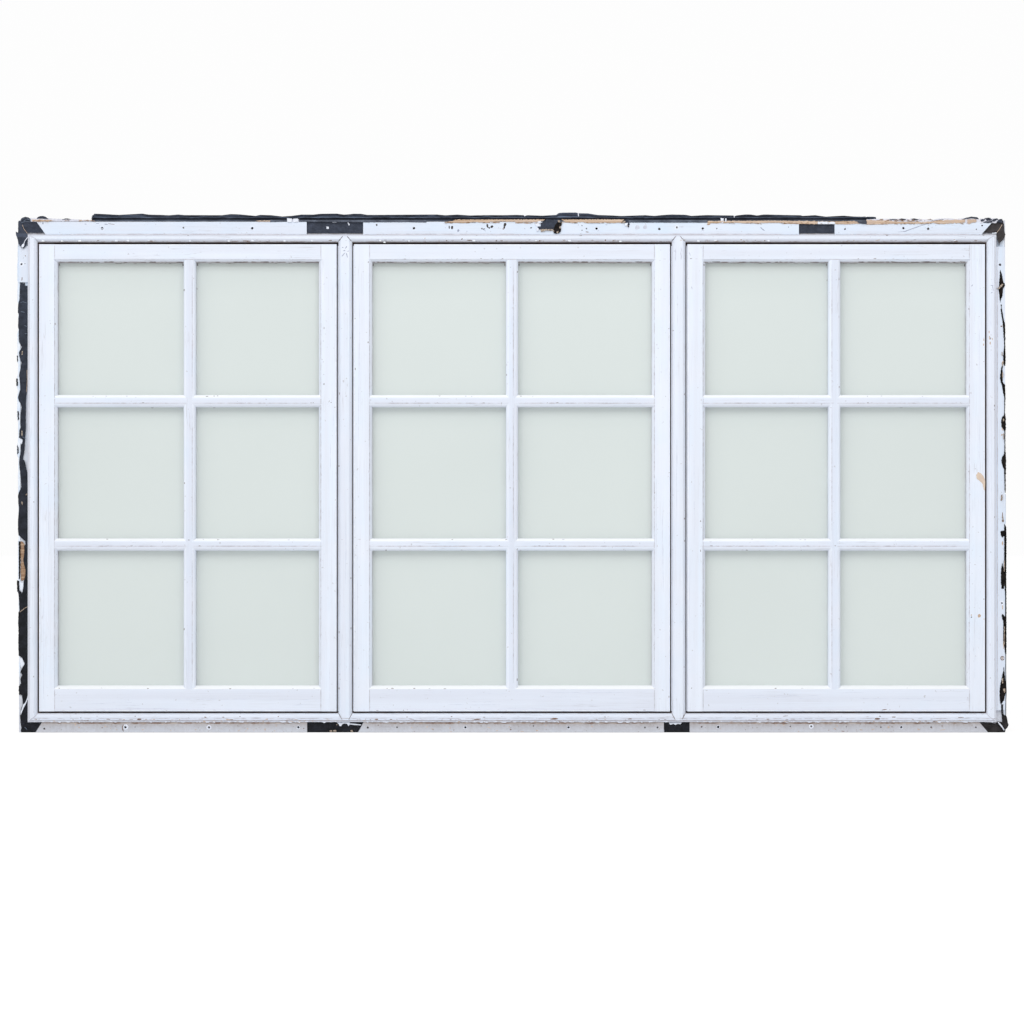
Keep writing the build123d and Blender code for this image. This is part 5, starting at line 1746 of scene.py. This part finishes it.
FILLER_ON_STRIP = (
    [(1003.0, 418.6), (1004.2, 419), (1003.9, 421.4), (1002.9, 421)],
    [(1003, 688.6), (1005.4, 688.2), (1005.5, 692), (1004.2, 692.6)],
    [(996.4, 288.8), (999, 287.4), (1001.6, 284), (1003.5, 284), (1002, 286.6), (999.6, 288.7)],
    [(1001.6, 352), (1002.6, 352.4), (1002.6, 356), (1001.8, 355.4)],
    [(1002.4, 362), (1003.4, 362.6), (1003, 366.4), (1002.2, 365.6)],
    [(1002.2, 372), (1003.2, 373), (1002.9, 378), (1002.1, 377)],
    [(1003.4, 433), (1004.2, 434), (1004, 440), (1003.3, 439)],
    [(1001, 496.4), (1002.6, 495.6), (1002.4, 500), (1001.2, 500.4)],
    [(1002.2, 516), (1003.2, 516.6), (1003.6, 521.8), (1002.6, 521.4)],
    [(1004, 560), (1004.8, 561), (1004.6, 572), (1003.9, 571)],
    [(1004.2, 626), (1004.9, 627), (1004.8, 645), (1004.1, 644)],
    [(1001.8, 679), (1003, 678), (1003.4, 683), (1002.2, 684)],
)
FRAYED_EDGES = (
    [(540.4, 229.3), (546, 228.9), (553.4, 229.2), (552.6, 230.8), (546, 230.5), (541.2, 232)],
    [(557.6, 220.6), (559.4, 220), (559.8, 222.2), (558.2, 222)],
    [(559.6, 225.6), (560.8, 226.4), (560.6, 228.8), (559.4, 228)],
    [(556.4, 231.6), (558.6, 231), (558.2, 233.2), (556.6, 233.2)],
    [(553.2, 229.8), (554.4, 229.6), (554, 232), (553, 231.6)],
    [(561.2, 222), (562.2, 222.4), (561.8, 224)],
    [(622.4, 221.2), (625.2, 220.6), (625.6, 222.8), (623.4, 223.6)],
    [(627.2, 225), (628.4, 225.4), (627.8, 227)], [(444.6, 222.2), (447, 221.6), (447, 223), (445, 223.2)],
)
TORN_SEAMS = (
    [(22.3, 224.9), (24, 229), (27.3, 233.4)], [(1002.1, 224.6), (999.6, 229), (996.4, 233)],
    [(19.9, 612), (22.2, 610.2), (25, 608), (27.7, 606.6)], [(540, 231.4), (543.5, 230.3), (546.6, 230)],
    [(997.2, 251), (999.4, 247.6)], [(27, 370), (27.3, 380), (26.6, 392)],
)
MEMBRANE_CREASES = (
    [(20.4, 220.8), (22.6, 218.6), (25.4, 217.8)], [(23.8, 221.2), (26.6, 219), (30, 219.8)],
    [(21.5, 222.8), (25, 221.6), (31, 221.9)], [(27.5, 218.4), (30.8, 220.6)],
    [(39.2, 217.4), (42, 216.6), (45.6, 217)], [(984, 219.4), (987, 218.6), (990, 219)],
    [(998.4, 221.4), (1000.6, 219.4), (1002.2, 219)], [(24.4, 325.4), (27.2, 326.8)],
    [(24.8, 333.8), (27.4, 333.4)], [(20.6, 302.6), (23, 301.8), (26.8, 303)], [(21, 311.5), (24.5, 312.4)],
    [(22.2, 436.8), (25.8, 438.6)], [(24.6, 727), (27.2, 729.8)],
    [(91.8, 217.6), (92.6, 215.4), (96, 214.9)], [(545, 222.4), (550, 221.8), (556, 222.8)],
    [(544, 225.6), (550, 226.2), (556, 225.2)],
)
# Columns of the bare feet of the mullions
MULLION_FEET = ((336, 362), (664, 690))
LIP_END_COLUMN = 992
SILL_LIP_ROW = 721.5

curl = crinkled(0.0016, 2.5, seed=12.0)


def lay_lip_nibs():
    """Blisters of paint along the head lip, in painted highlight, each with a painted shadow beside it."""
    nib_shadows, nibs = Shape(), Shape()
    for column, row in LIP_NIBS:
        half = chance.uniform(1.1, 2.0)
        outline = [
            (column - half, row + 0.1), (column - half * 0.5, row - 0.8),
            (column + half * 0.5, row - 0.7), (column + half, row),
            (column + half * 0.5, row + 0.6), (column - half * 0.5, row + 0.6),
        ]
        torn_sheet(nibs, outline, FACE_Y + 0.0042, 0.0008, 0.6, 0.2, curl)
        wide = chance.uniform(2.5, 6.0)
        mark(nib_shadows, column + wide * 0.35, row + 0.8, wide, 1.0)
    nibs.make("lip_nibs", highlight_paint)
    nib_shadows.make("lip_nib_shadows", lip_stain_and_shade)


def lay_lip_flakes():
    """Paint that hangs in ragged flakes from the sill lip, but not in front of the mullions."""
    ragged, column = Shape(), LIP_START_COLUMN
    while column < LIP_END_COLUMN:
        wide = chance.uniform(1.5, 7.0)
        if not any(left < column < right for left, right in MULLION_FEET):
            row = SILL_LIP_ROW + chance.uniform(-0.3, 0.3)
            hang = chance.uniform(0.3, 1.3)
            outline = [(column, row), (column + wide, row + chance.uniform(-0.3, 0.3))]
            outline.append((column + wide * chance.uniform(0.75, 1.0), row + hang * 0.7))
            outline.append((column + wide * chance.uniform(0.3, 0.7), row + hang))
            outline.append((column + wide * 0.1, row + hang * 0.5))
            torn_sheet(ragged, outline, FACE_Y + 0.0035, 0.0005, 0.7, 0.3, curl)
        column += wide + chance.uniform(0.2, 5.0)
    ragged.make("lip_flakes", white_flake)


def lay_flakes():
    """Lifted paint: tags and curls, blisters, and flakes along the sill."""
    flakes = Shape()
    for outline, depth in PAINT_TAGS:
        torn_sheet(flakes, outline, depth, 0.0006, 0.8, 0.2, curl)
    lay_lip_nibs()
    lay_lip_flakes()
    flakes.make("paint_flakes", white_flake)


def lay_remains():
    """Dried filler, frayed strip edges, torn seams and creases of the membrane with a painted sheen."""
    blobs, frayed, seams, creases = Shape(), Shape(), Shape(), Shape()
    torn_sheets(blobs, FILLER_ON_MEMBRANE, RIM_Y - 0.0022, 0.0006, 0.6, 0.3, curl)
    torn_sheets(blobs, FILLER_ON_STRIP, STRIP_Y - 0.0016, 0.0006, 0.5, 0.3, curl)
    torn_sheets(frayed, FRAYED_EDGES, STRIP_Y - 0.0008, 0.0009, 0.5, 0.4, curl)
    frayed.make("frayed_edges", old_filler)
    for points in TORN_SEAMS:
        bead(seams, points, RIM_Y - 0.0040, 0.0005)
    for points in MEMBRANE_CREASES:
        bead(creases, points, RIM_Y - 0.0050, 0.0007)
    creases.make("membrane_creases", crease_sheen)
    blobs.make("dried_filler", old_filler)
    seams.make("torn_seams", bare_wood)


# Floor, light and camera

FLOOR_HALF = 20
FLOOR_PALE = (0.90, 0.90, 0.90)
FLOOR_PALER = (0.92, 0.92, 0.92)
# The camera sees this darker floor under an even glow, and all other light meets the pale one
FLOOR_SEEN = (0.22, 0.22, 0.22)
FLOOR_GLOW = 0.84
# Strength of the sky as a light, and as the camera sees it
SKY_ON_WINDOW = 0.685
SKY_SEEN = 0.985
SOFTBOX_SIZE = (5.0, 2.4)
SOFTBOX_ENERGY = 95
SOFTBOX_PLACE = (-0.1, -3.3, 4.1)
SIDE_LIGHT_STRENGTH = 0.42
SIDE_LIGHT_SPREAD = math.radians(40)
SIDE_LIGHT_PLACE = (-3.0, -2.2, 1.9)


def make_floor():
    """A plain pale floor that keeps the window's shadow."""
    graph = Graph("floor")
    path = graph.tree.nodes.new("ShaderNodeLightPath")
    seen = path.outputs["Is Camera Ray"]
    tone = graph.noise(graph.place, scale=0.8, detail=2)
    pale = graph.mix(tone, FLOOR_PALE, FLOOR_PALER)
    graph.set(graph.shader.inputs["Base Color"], graph.mix(seen, pale, FLOOR_SEEN))
    graph.shader.inputs["Roughness"].default_value = 1.0
    graph.shader.inputs["Specular IOR Level"].default_value = 0.0
    graph.shader.inputs["Emission Color"].default_value = (1, 1, 1, 1)
    graph.set(graph.shader.inputs["Emission Strength"], graph.times(seen, FLOOR_GLOW))
    half = FLOOR_HALF
    corners = [(-half, -half, 0), (half, -half, 0), (half, half, 0), (-half, half, 0)]
    mesh = bpy.data.meshes.new("floor")
    mesh.from_pydata(corners, [], [(0, 1, 2, 3)])
    mesh.materials.append(graph.material)
    floor = bpy.data.objects.new("floor", mesh)
    bpy.context.scene.collection.objects.link(floor)


def aim(lamp, target):
    """Turns a lamp towards a place and puts it in the scene."""
    lamp.rotation_mode = "QUATERNION"
    lamp.rotation_quaternion = (target - lamp.location).to_track_quat("-Z", "Y")
    bpy.context.scene.collection.objects.link(lamp)


def make_light():
    """Even sky light, a large soft lamp above the front, and a weak wide one from the left."""
    world = bpy.data.worlds.new("studio")
    bpy.context.scene.world = world
    world.use_nodes = True
    tree = world.node_tree
    background = tree.nodes["Background"]
    path = tree.nodes.new("ShaderNodeLightPath")
    strength = tree.nodes.new("ShaderNodeMapRange")
    strength.inputs["To Min"].default_value = SKY_ON_WINDOW
    strength.inputs["To Max"].default_value = SKY_SEEN
    tree.links.new(path.outputs["Is Camera Ray"], strength.inputs["Value"])
    tree.links.new(strength.outputs[0], background.inputs["Strength"])
    background.inputs["Color"].default_value = (1, 1, 1, 1)

    middle = (cad_low + cad_high) / 2
    softbox_data = bpy.data.lights.new("softbox", "AREA")
    softbox_data.shape = "RECTANGLE"
    softbox_data.size, softbox_data.size_y = SOFTBOX_SIZE
    softbox_data.energy = SOFTBOX_ENERGY
    softbox = bpy.data.objects.new("softbox", softbox_data)
    softbox.location = SOFTBOX_PLACE
    aim(softbox, middle)

    side_data = bpy.data.lights.new("side_light", "SUN")
    side_data.energy = SIDE_LIGHT_STRENGTH
    side_data.angle = SIDE_LIGHT_SPREAD
    side = bpy.data.objects.new("side_light", side_data)
    side.location = SIDE_LIGHT_PLACE
    aim(side, middle)


def make_camera():
    """A long lens square on to the window, level with the photograph's middle."""
    camera_data = bpy.data.cameras.new("camera")
    camera_data.sensor_width = 36
    camera_data.lens = camera_data.sensor_width * CAMERA_DISTANCE / (IMAGE_SIDE * PIXEL)
    camera = bpy.data.objects.new("camera", camera_data)
    camera.location = (0, FACE_Y - CAMERA_DISTANCE, CAMERA_HEIGHT)
    camera.rotation_euler = (math.pi / 2, 0, 0)
    bpy.context.scene.collection.objects.link(camera)
    bpy.context.scene.camera = camera


make_camera()
make_light()
make_floor()
dress_cad()
lay_membranes()
lay_fragments()
lay_edge_skin()
lay_roll()
lay_rim_tops()
lay_bare_wood()
lay_lip_stains()
lay_edge_highlights()
lay_paint_in_gaps()
lay_long_seams()
lay_pane_dirt_and_shade()
lay_bar_lines()
lay_marks()
lay_lip_wear()
lay_grain()
lay_nicks()
lay_joint_lines()
lay_flakes()
lay_remains()
bpy.context.scene.view_settings.view_transform = "Standard"
